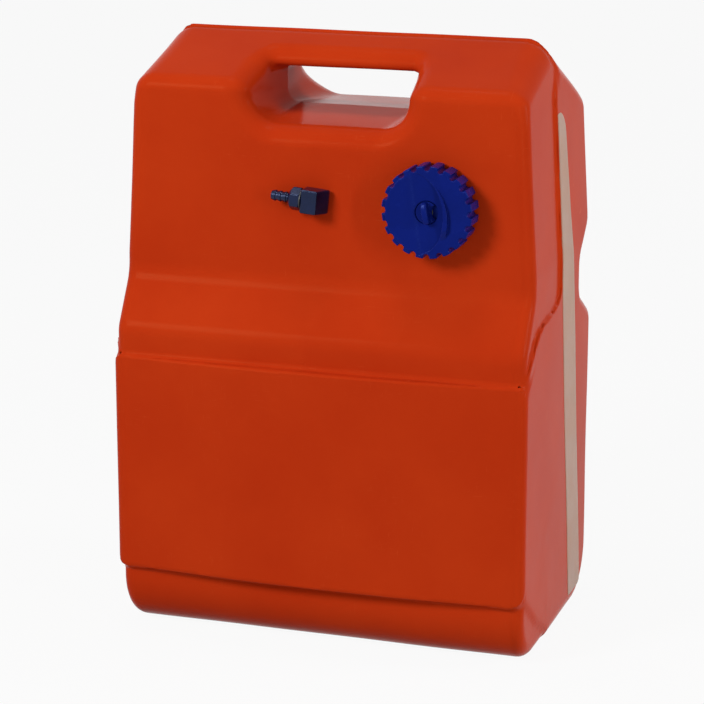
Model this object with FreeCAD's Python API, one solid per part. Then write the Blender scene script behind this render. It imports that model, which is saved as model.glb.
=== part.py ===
import FreeCAD, Part
import math
import os
from FreeCAD import Vector

# Portable outboard fuel tank: a blow-moulded upright can with a carrying grip, a vented
# screw cap and a swivelling hose outlet with its pick-up tube and strainer.
#
# All sizes in millimetres. X runs along the width, Y from front to back, Z up.
# The origin lies on the floor under the middle of the tank, on the plane where the two
# halves of the blow mould met.

# ------------------------------------------------------------------ tank shell
tank_width = 350.0
tank_depth = 232.5
back_depth = 110.5         # from the mould seam to the back
wall = 4.0
set_in = 2.3               # the front block stands in from the full-width body
roof_set_in = 1.0

# side view: how far each face lies behind the panel's front or before the back
panel_bulge = 8.0
upper_face_inset = 36.4
foot_inset = 13.4
floor_front_inset = 94.0
back_upper_inset = 9.0
groove_inset = 39.5

# side view: the depths that follow
panel_front_y = back_depth - tank_depth
panel_face_y = panel_front_y + panel_bulge
upper_face_y = panel_front_y + upper_face_inset
foot_face_y = panel_front_y + foot_inset
floor_front_y = panel_front_y + floor_front_inset
back_upper_y = back_depth - back_upper_inset
back_lower_y = back_depth
groove_y = back_depth - groove_inset

# side view: heights
panel_bottom = 57.0
panel_top = 239.0
slope_foot = 262.0
slope_head = 304.0
ledge_head = 288.0
shoulder_height = 465.0
groove_lip_low = 255.0
groove_floor_low = 278.0
groove_floor_high = 305.0
groove_lip_high = 329.0
roof_pitch_front = 21.0
roof_pitch_back = 31.0

# side view: the ledge falls from the seam to the panel in two steps, given as shares of
# the panel's depth and of the ledge's rise, and the toe rises by a share of the panel's foot
ledge_near = 0.2
ledge_far = 0.6
ledge_near_rise = 0.86
ledge_far_rise = 0.76
ledge_head_blend = 0.3
ledge_near_blend = 0.6
toe_rise = 0.4

# side view: rounding
toe_radius = 46.0
heel_radius = 48.0
shoulder_radius = 14.0
back_shoulder_radius = 16.0
ridge_radius = 18.0
slope_foot_radius = 25.0
slope_head_radius = 30.0
groove_lip_radius = 18.0
groove_floor_radius = 10.0

# front view: the sides lean in above the knee, and more above the brow
knee_height = 317.5
brow_height = 441.0
brow_lean_in = 7.0
crown_lean_in = 12.5
knee_radius = 150.0
brow_radius = 60.0

# rounding of the long edges down both sides
front_edge_radius = 11.0
panel_edge_radius = 10.0
back_edge_radius = 13.0

# carrying grip: a gap under a bar, widest and lowest at the two faces
grip_half_width = 60.5
grip_flare = 7.0
grip_floor = 436.0
grip_floor_fall = 7.0
grip_corner_radius = 12.0
grip_mouth_radius = 27.0
bar_front_y = -34.0
bar_back_y = 28.0
bar_under_front = 471.0
bar_under_back = 466.5
bar_drop = 1.2
bar_radius = 6.5

# sight strip: a band of clear plastic moulded into the right-hand wall
strip_bottom = 14.0
strip_bend_front = 290.0
strip_bend_back = 350.0
strip_top = 440.0
strip_foot_front_y = 44.5
strip_foot_back_y = 84.0
strip_seam_y = 1.0
strip_bend_back_y = 33.5
strip_head_back_y = 26.0
strip_bend_radius = 200.0
strip_head_radius = 21.0

# filler neck and its vented screw cap
neck_from_side = 83.4
neck_x = tank_width / 2 - neck_from_side
neck_z = 373.2
neck_radius = 28.0
neck_bore = 24.0
neck_length = 16.6
neck_edge = 1.2
cap_radius = 36.8
cap_depth = 21.5
cap_plate = 3.6
cap_gap = 1.6
cap_skirt_bore = 30.6
cap_notches = 20
notch_width = 4.4
notch_depth = 2.6
cap_edge = 1.2
skirt_edge = 0.6
gasket_bore = 23.0
gasket_thickness = 2.6
pad_shift_x = -11.5
pad_shift_z = -1.5
pad_half_width = 25.5
pad_half_height = 33.0
pad_tilt = -8.0
pad_sink = 1.6
rib_rise = 3.6
rib_width = 5.6
rib_half_height = 24.5
vent_well_radius = 10.0
vent_well_depth = 4.2
vent_hub_radius = 13.5
vent_hub_depth = 9.5
vent_stem_radius = 3.0
vent_disc_radius = 8.0
vent_disc_thickness = 2.9
vent_fin_thickness = 4.4
vent_fin_height = 15.4
vent_fin_rise = 8.2
vent_fin_edge = 1.5
vent_disc_edge = 0.6
vent_bleed = 1.0
vent_turns = 1.5
vent_pitch = 1.6
clip_thickness = 0.8
clip_reach = 2.4
clip_opening = 3.6
clip_slot = 2.0
splash_radius = 18.0
splash_thickness = 1.4
splash_drop = 8.5
splash_holes = 6
splash_hole_radius = 1.5

# hose outlet: a block that swivels on a bush set into the front wall
outlet_x = -4.8
outlet_z = 373.6
outlet_tilt = 5.5
block_width = 19.6
block_height = 19.2
block_stand_out = 17.4
block_front_y = upper_face_y - block_stand_out
block_gap = 0.8
block_edge = 1.8
block_end_edge = 1.08
mitre_width = 6.5
mitre_depth = 12.0
stem_radius = 5.0
stem_bore = 2.2
stem_length = 23.0
first_seal_share = 0.25
second_seal_share = 0.48
bush_radius = 7.6
bush_flange_radius = 8.4
bush_flange = 1.6
bush_length = 25.6
bush_end_wall = 3.0
bush_boss_radius = 11.5
bush_boss_length = 9.0
spigot_radius = 4.2
spigot_bore = 2.8
spigot_length = 14.0
washer_set_in = 1.5
washer_gap_front = 0.2
washer_gap_back = 0.1
ring_section = 0.8
swivel_ring_section = 0.7
swivel_ring_y = 18.5
barb_root = 3.6
barb_crest = 4.4
barb_bore = 2.2
barb_length = 14.4
barb_count = 3
barb_land = 0.8
barb_crest_share = 0.35
barb_foot_share = 1.1
barb_shoulder = 1.0
barb_tip_edge = 0.4
hex_across = 16.6
hex_length = 7.0
hex_cone = 3.4
hex_edge = 0.6
hex_corner_relief = 0.2
hex_cone_foot = 1.6
barb_washer = 1.0
barb_thread_radius = 5.0
barb_thread_length = 4.5
barb_socket_slack = 0.6

# pick-up tube and strainer inside the tank
tube_radius = 6.0
tube_bore = 4.25
tube_bend = 22.0
tube_reach = 8.0
tube_foot = 34.0
clamp_thickness = 1.2
clamp_width = 6.0
clamp_ear = 5.0
clamp_ear_spread = 1.3
clamp_ear_sink = 0.2
clamp_slot = 1.44
strainer_radius = 9.0
strainer_foot = 8.0
strainer_wall = 1.4
strainer_collar = 12.0
strainer_shoulder = 3.0
strainer_shoulder_edge = 2.0
strainer_stop = 1.5
strainer_windows = 6
strainer_window_height = 15.0
mesh_thickness = 0.4

# small roundings shared by the fittings
hair_edge = 0.3
barb_edge = 0.4
fine_edge = 0.5
small_edge = 0.8
soft_edge = 1.0
round_edge = 2.0

# fits, and how far a cutting tool runs past what it cuts
fit = 0.05
seat = 0.3
through = 1.0
overlap = 30.0
reach = 260.0
tiny = 1e-6

# a face of the tank looks sideways or across where its normal's X part is beyond these
sideways_least = 0.8
across_most = 0.3


# ------------------------------------------------------------ drawing helpers
def in_side_view(across, height):
    """A point of the side view, on the plane X = 0."""
    return Vector(0, across, height)


def in_front_view(across, height):
    """A point of the front view, on the plane Y = 0."""
    return Vector(across, 0, height)


def in_plan(across, depth):
    """A point of the plan, on the plane Z = 0."""
    return Vector(across, depth, 0)


def turn_at(before, corner, after):
    """Unit directions into and out of a corner, and the signed turn between them."""
    way_in = (corner[0] - before[0], corner[1] - before[1])
    way_out = (after[0] - corner[0], after[1] - corner[1])
    length_in = math.hypot(*way_in)
    length_out = math.hypot(*way_out)
    way_in = (way_in[0] / length_in, way_in[1] / length_in)
    way_out = (way_out[0] / length_out, way_out[1] / length_out)
    cross = way_in[0] * way_out[1] - way_in[1] * way_out[0]
    dot = way_in[0] * way_out[0] + way_in[1] * way_out[1]
    return way_in, way_out, math.atan2(cross, dot)


def rounded_loop(corners, to_space):
    """Closed wire through corners (a, b, radius), each rounded by its own radius."""
    count = len(corners)
    stations = []
    for index, (a, b, radius) in enumerate(corners):
        following = corners[(index + 1) % count]
        way_in, way_out, turn = turn_at(corners[index - 1], (a, b), following)
        setback = radius * math.tan(abs(turn) / 2)
        entry = (a - way_in[0] * setback, b - way_in[1] * setback)
        leave = (a + way_out[0] * setback, b + way_out[1] * setback)
        inward = (way_out[0] - way_in[0], way_out[1] - way_in[1])
        size = math.hypot(*inward) or 1.0
        depth = radius / math.cos(turn / 2) - radius
        middle = (a + inward[0] / size * depth, b + inward[1] / size * depth)
        stations.append((entry, middle, leave, setback > tiny))
    edges = []
    for index, (entry, middle, leave, is_round) in enumerate(stations):
        last = stations[index - 1][2]
        if math.dist(last, entry) > tiny:
            edges.append(Part.makeLine(to_space(*last), to_space(*entry)))
        if is_round:
            arc = Part.Arc(to_space(*entry), to_space(*middle), to_space(*leave))
            edges.append(arc.toShape())
    return Part.Wire(edges)


def inset_loop(corners, depth):
    """The same loop, anticlockwise, with every side moved inward by depth."""
    count = len(corners)
    moved = []
    for index, (a, b, radius) in enumerate(corners):
        following = corners[(index + 1) % count]
        way_in, way_out, turn = turn_at(corners[index - 1], (a, b), following)
        normal_sum = (-way_in[1] - way_out[1], way_in[0] + way_out[0])
        scale = depth / (1 + way_in[0] * way_out[0] + way_in[1] * way_out[1])
        grown = radius - depth if turn > 0 else radius + depth
        moved.append((a + normal_sum[0] * scale, b + normal_sum[1] * scale, max(grown, 0.0)))
    return moved


def prism(corners, to_space, start, length):
    """Solid swept straight from the rounded loop; start and length are vectors."""
    face = Part.Face(rounded_loop(corners, to_space))
    face.translate(start)
    return face.extrude(length)


def turned(profile, x, z):
    """Solid turned about the axis along Y at (x, z); profile corners are (radius, y, round)."""
    face = Part.Face(rounded_loop(profile, lambda radius, y: Vector(x + radius, y, z)))
    return face.revolve(Vector(x, 0, z), Vector(0, 1, 0), 360)


def ring(x, z, inner, outer, y_low, y_high, edge=0.0):
    """Flat ring about the axis along Y at (x, z)."""
    profile = [
        (inner, y_low, edge), (outer, y_low, edge), (outer, y_high, edge), (inner, y_high, edge),
    ]
    return turned(profile, x, z)


def rod(x, z, radius, y_low, y_high):
    """Round bar along Y."""
    return cylinder(radius, y_high - y_low, Vector(x, y_low, z), Vector(0, 1, 0))


def torus_about_y(x, y, z, radius, section):
    """Ring of round section lying about the axis along Y at (x, z)."""
    return Part.makeTorus(radius, section, Vector(x, y, z), Vector(0, 1, 0))


def cylinder(radius, length, foot, way):
    """Round bar of a length from a foot point, along a direction."""
    return Part.makeCylinder(radius, length, foot, way)


# ---------------------------------------------------------------- shell blocks
def roof_at(depth):
    """Height of the roof planes, front or back of the ridge, before any rounding."""
    ridge = shoulder_height - upper_face_y * math.tan(math.radians(roof_pitch_front))
    pitch = roof_pitch_front if depth < 0 else roof_pitch_back
    return ridge - abs(depth) * math.tan(math.radians(pitch))


def core_side():
    """Side view of the set-in core: front block, slope and toe, anticlockwise."""
    slope_end_y = panel_face_y + set_in
    return [
        (overlap, 0, 0),
        (overlap, roof_at(overlap) - roof_set_in, 0),
        (0, roof_at(0) - roof_set_in, ridge_radius),
        (upper_face_y, roof_at(upper_face_y) - roof_set_in, shoulder_radius),
        (upper_face_y, slope_head, slope_head_radius),
        (slope_end_y, slope_foot, slope_foot_radius),
        (slope_end_y, panel_top - overlap, toe_radius),
        (foot_face_y, panel_bottom + overlap, toe_radius),
        (foot_face_y, 0, toe_radius),
    ]


def body_side():
    """Side view of the full-width body: back half, side bands and front panel."""
    ledge_rise = ledge_head - panel_top
    panel_depth = -panel_face_y
    return [
        (floor_front_y, 0, 0),
        (back_lower_y, 0, heel_radius),
        (back_lower_y, groove_lip_low, groove_lip_radius),
        (groove_y, groove_floor_low, groove_floor_radius),
        (groove_y, groove_floor_high, groove_floor_radius),
        (back_upper_y, groove_lip_high, groove_lip_radius),
        (back_upper_y, roof_at(back_upper_y), back_shoulder_radius),
        (0, roof_at(0), 0),
        (0, ledge_head, ledge_rise * ledge_head_blend),
        (-ledge_near * panel_depth, panel_top + ledge_near_rise * ledge_rise,
         ledge_rise * ledge_near_blend),
        (-ledge_far * panel_depth, panel_top + ledge_far_rise * ledge_rise, ledge_rise),
        (panel_face_y, panel_top, 0),
        (panel_face_y, panel_bottom, 0),
        (-ledge_far * panel_depth, toe_rise * panel_bottom, panel_bottom),
    ]


def front_view(narrowing):
    """Front view of the shell: upright sides that lean in towards the crown."""
    half = tank_width / 2 - narrowing
    brow = half - brow_lean_in
    crown = half - crown_lean_in
    lean = (brow - crown) / (roof_at(0) - brow_height)
    right = [
        (half, -overlap, 0),
        (half, knee_height, knee_radius),
        (brow, brow_height, brow_radius),
        (crown - lean * overlap, roof_at(0) + overlap, 0),
    ]
    left = [(-across, height, radius) for across, height, radius in reversed(right)]
    return right + left


def block(side, narrowing, depth):
    """One block of the shell: its side view swept across and trimmed to the front view."""
    span = Vector(tank_width + 2 * overlap, 0, 0)
    across = prism(inset_loop(side, depth), in_side_view, span * -0.5, span)
    outline = inset_loop(front_view(narrowing), depth)
    upright = prism(outline, in_front_view, Vector(0, -reach, 0), Vector(0, 2 * reach, 0))
    return across.common(upright)


def side_edges(shape, keep):
    """Edges where a side of the tank meets a face that runs across it."""
    found = []
    for edge in shape.Edges:
        middle = edge.valueAt((edge.FirstParameter + edge.LastParameter) / 2)
        sideways = []
        for face in shape.ancestorsOfType(edge, Part.Face):
            u, v = face.Surface.parameter(middle)
            sideways.append(abs(face.normalAt(u, v).x))
        crosses = min(sideways) < across_most and max(sideways) > sideways_least
        if len(sideways) > 1 and crosses and keep(middle):
            found.append(edge)
    return found


def rounded_core(depth):
    """The set-in core with its long side edges rounded."""
    raw = block(core_side(), set_in, depth)
    edges = side_edges(raw, lambda point: point.y < overlap - depth - fit)
    return raw.makeFillet(front_edge_radius - depth, edges)


def panel_pillow(depth):
    """The front panel's gentle bulge: a segment of an upright drum."""
    half = tank_width / 2 - panel_edge_radius
    drum_radius = (half ** 2 + panel_bulge ** 2) / (2 * panel_bulge)
    low = panel_bottom + depth
    high = panel_top - depth
    centre = Vector(0, panel_face_y - panel_bulge + drum_radius, low)
    drum = Part.makeCylinder(drum_radius - depth, high - low, centre)
    window = Part.makeBox(2 * half, 2 * panel_bulge, high - low,
                          Vector(-half, panel_face_y + depth - panel_bulge, low))
    return drum.common(window)


def rounded_body(depth):
    """The full-width body with its side edges rounded and its panel bulging."""
    raw = block(body_side(), 0, depth)
    backs = side_edges(raw, lambda point: point.y > depth + fit)
    backed = raw.makeFillet(back_edge_radius - depth, backs)
    fronts = side_edges(backed, lambda point: abs(point.y - panel_face_y - depth) < fit)
    return backed.makeFillet(panel_edge_radius - depth, fronts).fuse(panel_pillow(depth))


def grip_section(y, half_width, floor, radius):
    """Outline of the grip gap on the plane at y, open above the roof."""
    top = roof_at(0) + overlap
    corners = [
        (-half_width, floor, radius), (half_width, floor, radius),
        (half_width, top, 0), (-half_width, top, 0),
    ]
    wire = rounded_loop(corners, in_front_view)
    wire.translate(Vector(0, y, 0))
    return wire


def grip_gap(grown):
    """The space of the grip, its walls moved outward by grown, without the bar."""
    seam = grip_section(
        0, grip_half_width + grown, grip_floor - grown, grip_corner_radius + grown)
    halves = []
    for face_y in (upper_face_y, back_upper_y):
        slant = 1 + overlap / abs(face_y)
        mouth = grip_section(
            face_y * slant, grip_half_width + grip_flare * slant + grown,
            grip_floor - grip_floor_fall * slant - grown, grip_mouth_radius + grown)
        halves.append(Part.makeLoft([seam, mouth], True, True))
    under_roof = roof_at(0) - bar_drop
    bar = [
        (bar_front_y, bar_under_front, bar_radius),
        (bar_back_y, bar_under_back, bar_radius),
        (bar_back_y, roof_at(bar_back_y) - bar_drop, bar_radius),
        (0, under_roof, ridge_radius),
        (bar_front_y, roof_at(bar_front_y) - bar_drop, bar_radius),
    ]
    span = Vector(4 * grip_half_width, 0, 0)
    handle = prism(inset_loop(bar, grown), in_side_view, span * -0.5, span)
    return halves[0].fuse(halves[1]).cut(handle)


def front_hole(x, z, radius, back_y):
    """Round hole from in front of the tank to back_y."""
    return rod(x, z, radius, -reach, back_y)


def shell_solid():
    """The hollow tank with its neck and the boss for the outlet bush."""
    outer = rounded_core(0).fuse(rounded_body(0)).cut(grip_gap(0))
    cavity = rounded_core(wall).fuse(rounded_body(wall)).cut(grip_gap(wall))
    inner_face = upper_face_y + wall
    neck = turned([
        (neck_bore, inner_face, 0), (neck_radius, inner_face, 0),
        (neck_radius, upper_face_y - neck_length, neck_edge),
        (neck_bore, upper_face_y - neck_length, neck_edge),
    ], neck_x, neck_z)
    boss = ring(outlet_x, outlet_z, bush_radius + fit, bush_boss_radius,
                upper_face_y + fit, inner_face + bush_boss_length)
    opened = outer.cut(cavity)
    opened = opened.cut(front_hole(neck_x, neck_z, neck_bore, inner_face + wall))
    opened = opened.cut(front_hole(outlet_x, outlet_z, bush_radius + fit, inner_face + wall))
    return opened.fuse([neck, boss])


def strip_outline():
    """Side view of the sight strip: it leans back from the seam and has a round head."""
    return [
        (strip_foot_front_y, strip_bottom, 0),
        (strip_foot_back_y, strip_bottom, 0),
        (strip_bend_back_y, strip_bend_back, strip_bend_radius),
        (strip_head_back_y, strip_top, strip_head_radius),
        (strip_seam_y, strip_top, 0),
        (strip_seam_y, strip_bend_front, strip_bend_radius),
    ]


def shell_and_strip():
    """The shell, and the clear band let into its right-hand wall."""
    whole = shell_solid()
    inner = tank_width / 2 - crown_lean_in - wall
    band = prism(strip_outline(), in_side_view, Vector(inner, 0, 0), Vector(overlap, 0, 0))
    return whole.cut(band), whole.common(band)


# ------------------------------------------------------------------ filler cap
cap_back = upper_face_y - cap_gap
cap_front = cap_back - cap_depth
plate_inside = cap_front + cap_plate


def oval(half_width, low, high, shift):
    """Upright oval bar along Y, as tall as the pad, leaning with it on the cap's face."""
    matrix = FreeCAD.Matrix()
    matrix.scale(half_width / pad_half_height, 1, 1)
    bar = rod(0, 0, pad_half_height, low, high).transformGeometry(matrix)
    bar.translate(Vector(shift, 0, 0))
    return bar


def on_face(shape):
    """The shape moved from the drawing origin to the pad's place on the cap."""
    shape.rotate(Vector(0, 0, 0), Vector(0, 1, 0), pad_tilt)
    shape.translate(Vector(neck_x + pad_shift_x, cap_front, neck_z + pad_shift_z))
    return shape


def pad_dish():
    """Oval dish in the cap's face, deepest at the side of the rib."""
    wide = 2 * pad_half_height
    sunk = oval(pad_half_width, -pad_sink, pad_sink, 0)
    wedge = prism([
        (-pad_half_width, 0, 0), (pad_half_width, pad_sink, 0), (pad_half_width, -pad_sink, 0),
        (-pad_half_width, -pad_sink, 0),
    ], in_plan, Vector(0, 0, -wide), Vector(0, 0, 2 * wide))
    return on_face(sunk.common(wedge))


def pad_rib():
    """Crescent finger rib along the far side of the dish."""
    outer = oval(pad_half_width, -rib_rise, pad_sink + through, 0)
    inner = oval(pad_half_width, -2 * rib_rise, 2 * pad_sink + through, -rib_width)
    window = Part.makeBox(pad_half_width, 2 * cap_depth, 2 * rib_half_height,
                          Vector(0, -cap_depth, -rib_half_height))
    return on_face(outer.cut(inner).common(window))


def cap_notches_cut():
    """The notches round the cap's rim."""
    corner = Vector(neck_x - notch_width / 2, cap_front - cap_depth / 2,
                    neck_z + cap_radius - notch_depth)
    notch = Part.makeBox(notch_width, 2 * cap_depth, 2 * notch_depth, corner)
    notches = []
    for index in range(cap_notches):
        copied = notch.copy()
        angle = 360.0 * (index + 0.5) / cap_notches
        copied.rotate(Vector(neck_x, 0, neck_z), Vector(0, 1, 0), angle)
        notches.append(copied)
    return notches


def cap_body():
    """Screw cap: notched skirt, face plate with its pad, and the hub that holds the vent."""
    hub_end = plate_inside + vent_hub_depth
    drum = turned([
        (0, cap_front, 0), (cap_radius, cap_front, cap_edge), (cap_radius, cap_back, cap_edge),
        (cap_skirt_bore, cap_back, skirt_edge), (cap_skirt_bore, plate_inside, 0),
        (vent_hub_radius, plate_inside, 0), (vent_hub_radius, hub_end, soft_edge), (0, hub_end, 0),
    ], neck_x, neck_z)
    drum = drum.cut(pad_dish()).fuse(pad_rib())
    well = rod(neck_x, neck_z, vent_well_radius, cap_front - overlap, cap_front + vent_well_depth)
    passage = rod(neck_x, neck_z, vent_stem_radius + fit, cap_front, hub_end + overlap)
    seal_radius = vent_stem_radius + 2 * ring_section + 4 * fit
    seal_end = vent_seal_low() + 2 * ring_section + fit
    seal_seat = rod(neck_x, neck_z, seal_radius, cap_front, seal_end)
    return drum.cut([well, passage, seal_seat] + cap_notches_cut())


def cap_gasket():
    """Flat sealing ring between the neck and the cap."""
    low = plate_inside + fit
    return ring(neck_x, neck_z, gasket_bore, cap_skirt_bore - 2 * seat, low,
                low + gasket_thickness, hair_edge)


def splash_disc():
    """Cup that clips round the hub and keeps fuel out of the vent."""
    hub_end = plate_inside + vent_hub_depth
    rim = plate_inside + vent_hub_depth / 2
    floor = hub_end + splash_drop
    grip = vent_hub_radius + fit
    inner = splash_radius - splash_thickness
    cup = turned([
        (grip, rim, 0), (splash_radius, rim, soft_edge), (splash_radius, floor, round_edge),
        (0, floor, 0), (0, floor - splash_thickness, 0), (inner, floor - splash_thickness, soft_edge),
        (inner, hub_end, fine_edge), (grip, hub_end, 0),
    ], neck_x, neck_z)
    holes = []
    for index in range(splash_holes):
        angle = 2 * math.pi * index / splash_holes
        reach_out = inner - 2 * splash_hole_radius
        x = neck_x + reach_out * math.cos(angle)
        z = neck_z + reach_out * math.sin(angle)
        holes.append(rod(x, z, splash_hole_radius, hub_end + splash_drop / 2, floor + overlap))
    return cup.cut(holes)


def vent_disc_back():
    """Depth of the back of the vent screw's disc."""
    return cap_front + vent_well_depth - seat


def vent_seal_low():
    """Depth of the front of the O-ring under the disc."""
    return vent_disc_back() + fit


def clip_front():
    """Depth of the clip: it lets the vent screw travel out by its full range."""
    return plate_inside + vent_hub_depth + vent_turns * vent_pitch + seat


def vent_fin():
    """Finger fin of the vent screw, with a round crown."""
    disc_front = vent_disc_back() - vent_disc_thickness
    crown_y = disc_front - vent_fin_rise
    half_wide = vent_fin_thickness / 2
    half_tall = vent_fin_height / 2
    outline = [
        (-half_wide, -half_tall, vent_fin_edge), (half_wide, -half_tall, vent_fin_edge),
        (half_wide, half_tall, vent_fin_edge), (-half_wide, half_tall, vent_fin_edge),
    ]
    depth = Vector(0, vent_fin_rise + vent_disc_thickness / 2, 0)
    fin = prism(outline, in_front_view, Vector(neck_x, crown_y, neck_z), depth)
    foot = Vector(neck_x - vent_fin_thickness, crown_y + vent_fin_height, neck_z)
    return fin.common(cylinder(vent_fin_height, 2 * vent_fin_thickness, foot, Vector(1, 0, 0)))


def vent_knob():
    """Vent screw: finger fin on a disc, with a stem through the cap's hub."""
    disc_back = vent_disc_back()
    disc_front = disc_back - vent_disc_thickness
    stem_end = clip_front() + 3 * clip_thickness
    groove = vent_stem_radius - ring_section
    clip_y = clip_front() - fit
    clip_back = clip_front() + clip_thickness + fit
    body = turned([
        (0, disc_front, 0), (vent_disc_radius, disc_front, vent_disc_edge),
        (vent_disc_radius, disc_back, 0), (vent_stem_radius, disc_back, 0),
        (vent_stem_radius, clip_y, 0), (groove, clip_y, 0), (groove, clip_back, 0),
        (vent_stem_radius, clip_back, 0), (vent_stem_radius, stem_end, fine_edge), (0, stem_end, 0),
    ], neck_x, neck_z)
    corner = Vector(neck_x - vent_bleed / 2, disc_back + 3 * ring_section / 2,
                    neck_z + vent_stem_radius - vent_bleed)
    bleed = Part.makeBox(vent_bleed, stem_end - disc_back + overlap, 2 * vent_bleed, corner)
    return body.fuse(vent_fin()).cut(bleed)


def vent_seal():
    """O-ring under the vent screw's disc."""
    section = ring_section
    middle_y = vent_seal_low() + section
    return torus_about_y(neck_x, middle_y, neck_z, vent_stem_radius + section + fit, section)


def vent_clip():
    """Open spring clip in the groove at the stem's inner end."""
    clip_y = clip_front()
    inner = vent_stem_radius - ring_section + fit
    outer = vent_stem_radius + clip_reach
    plate = ring(neck_x, neck_z, inner, outer, clip_y, clip_y + clip_thickness)
    corner = Vector(neck_x - clip_opening / 2, clip_y, neck_z - outer - through)
    return plate.cut(Part.makeBox(clip_opening, clip_slot, outer + through, corner))


# ---------------------------------------------------------------- hose outlet
bush_front = upper_face_y - bush_flange
bush_end = bush_front + bush_length
block_back_y = bush_front - block_gap
stem_end_y = block_back_y + stem_length
barb_y = (block_front_y + block_back_y) / 2


def tilted(shape):
    """The shape swung about the swivel axis to the outlet's resting angle."""
    shape.rotate(Vector(outlet_x, 0, outlet_z), Vector(0, 1, 0), outlet_tilt)
    return shape


def along_x(profile):
    """Solid turned about the barb's axis; profile corners are (distance out, radius, round)."""
    start = outlet_x - block_width / 2
    wire = rounded_loop(profile, lambda out, radius: Vector(start - out, barb_y, outlet_z + radius))
    face = Part.Face(wire)
    return face.revolve(Vector(0, barb_y, outlet_z), Vector(1, 0, 0), 360)


def o_ring_stations():
    """Depths of the two seals on the swivel stem."""
    shares = (first_seal_share, second_seal_share)
    return [block_back_y + share * stem_length for share in shares]


def swivel_station():
    """Depth of the wire ring that keeps the stem in the bush."""
    return block_back_y + swivel_ring_y


def mitred_box():
    """The elbow's block: its outer front corner is mitred, as the bore turns there."""
    half = block_width / 2
    plan = [
        (outlet_x - half, block_front_y, block_edge),
        (outlet_x + half - mitre_width, block_front_y, block_edge),
        (outlet_x + half, block_front_y + mitre_depth, block_edge),
        (outlet_x + half, block_back_y, 0),
        (outlet_x - half, block_back_y, 0),
    ]
    height = Vector(0, 0, block_height)
    box = prism(plan, in_plan, Vector(0, 0, outlet_z) - height * 0.5, height)
    ends = []
    for edge in box.Edges:
        middle = edge.valueAt((edge.FirstParameter + edge.LastParameter) / 2)
        at_end = abs(abs(middle.z - outlet_z) - block_height / 2) < fit
        if at_end and middle.y < block_back_y - fit:
            ends.append(edge)
    return box.makeFillet(block_end_edge, ends)


def stem_groove(station, half, depth):
    """Ring that cuts a groove in the swivel stem."""
    return ring(outlet_x, outlet_z, stem_radius - depth, stem_radius + through,
                station - half, station + half)


def outlet_block():
    """Elbow block with its grooved swivel stem and the drilling between them."""
    half_wide = block_width / 2
    side = Vector(outlet_x - half_wide, barb_y, outlet_z)
    inward = Vector(1, 0, 0)
    stem = rod(outlet_x, outlet_z, stem_radius, block_back_y - block_edge, stem_end_y)
    cuts = [rod(outlet_x, outlet_z, stem_bore, barb_y, stem_end_y + overlap)]
    seal_room = ring_section + 2 * fit
    for station in o_ring_stations():
        cuts.append(stem_groove(station, seal_room, 2 * seal_room))
    keep_room = swivel_ring_section + 2 * fit
    cuts.append(stem_groove(swivel_station(), keep_room, keep_room))
    socket_depth = barb_thread_length + barb_socket_slack
    cuts.append(cylinder(barb_thread_radius + fit, socket_depth, side, inward))
    cuts.append(cylinder(barb_bore, half_wide + stem_bore, side, inward))
    return tilted(mitred_box().fuse(stem).cut(cuts))


def stem_o_rings():
    """Two seals on the swivel stem."""
    radius = stem_radius - ring_section + fit / 2
    rings = []
    for y in o_ring_stations():
        rings.append(torus_about_y(outlet_x, y, outlet_z, radius, ring_section))
    return tilted(Part.Compound(rings))


def barb_profile():
    """Half section of the threaded end, neck and barbs: (distance out, radius, round)."""
    hex_end = barb_washer + 2 * fit + hex_length
    cone_end = hex_end + hex_cone
    tip = cone_end + barb_length
    pitch = (barb_length - barb_land) / barb_count
    profile = [
        (-barb_thread_length, barb_bore, 0), (-barb_thread_length, barb_thread_radius, 0),
        (hex_end, barb_thread_radius, 0), (cone_end, barb_root + barb_shoulder, 0),
    ]
    foot = cone_end
    for index in range(barb_count):
        crest = cone_end + pitch * (index + barb_crest_share)
        profile += [
            (foot, barb_root, 0), (crest, barb_root, 0), (crest, barb_crest, 0),
            (crest + barb_land, barb_crest, 0),
        ]
        foot = cone_end + pitch * (index + barb_foot_share)
    return profile + [(tip, barb_root, barb_tip_edge), (tip, barb_bore, 0)]


def barb_hexagon():
    """The spanner hexagon, turned down to a cone at its outer end."""
    hex_start = barb_washer + 2 * fit
    hex_end = hex_start + hex_length
    cone_end = hex_end + hex_cone
    across_corners = hex_across / math.sqrt(3)
    sides = []
    for index in range(6):
        angle = math.pi * (index + 0.5) / 3
        corner = (across_corners * math.cos(angle), across_corners * math.sin(angle), hex_edge)
        sides.append(corner)
    start = Vector(outlet_x - block_width / 2 - hex_start, barb_y, outlet_z)
    hexagon = prism(sides, in_side_view, start, Vector(hex_start - cone_end, 0, 0))
    cone_base = across_corners + hex_corner_relief
    taper = along_x([
        (hex_start, barb_bore, 0), (hex_start, cone_base, 0), (hex_end, cone_base, 0),
        (cone_end, barb_root + hex_cone_foot, 0), (cone_end, barb_bore, 0),
    ])
    return hexagon.common(taper)


def hose_barb():
    """Screw-in hose tail: threaded end, hexagon, cone and three barbs."""
    return tilted(along_x(barb_profile()).fuse(barb_hexagon()))


def barb_washer_ring():
    """Sealing washer under the barb's hexagon."""
    inner = barb_thread_radius + fit
    outer = hex_across / 2
    far = fit + barb_washer
    return tilted(along_x([(fit, inner, 0), (fit, outer, 0), (far, outer, 0), (far, inner, 0)]))


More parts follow.
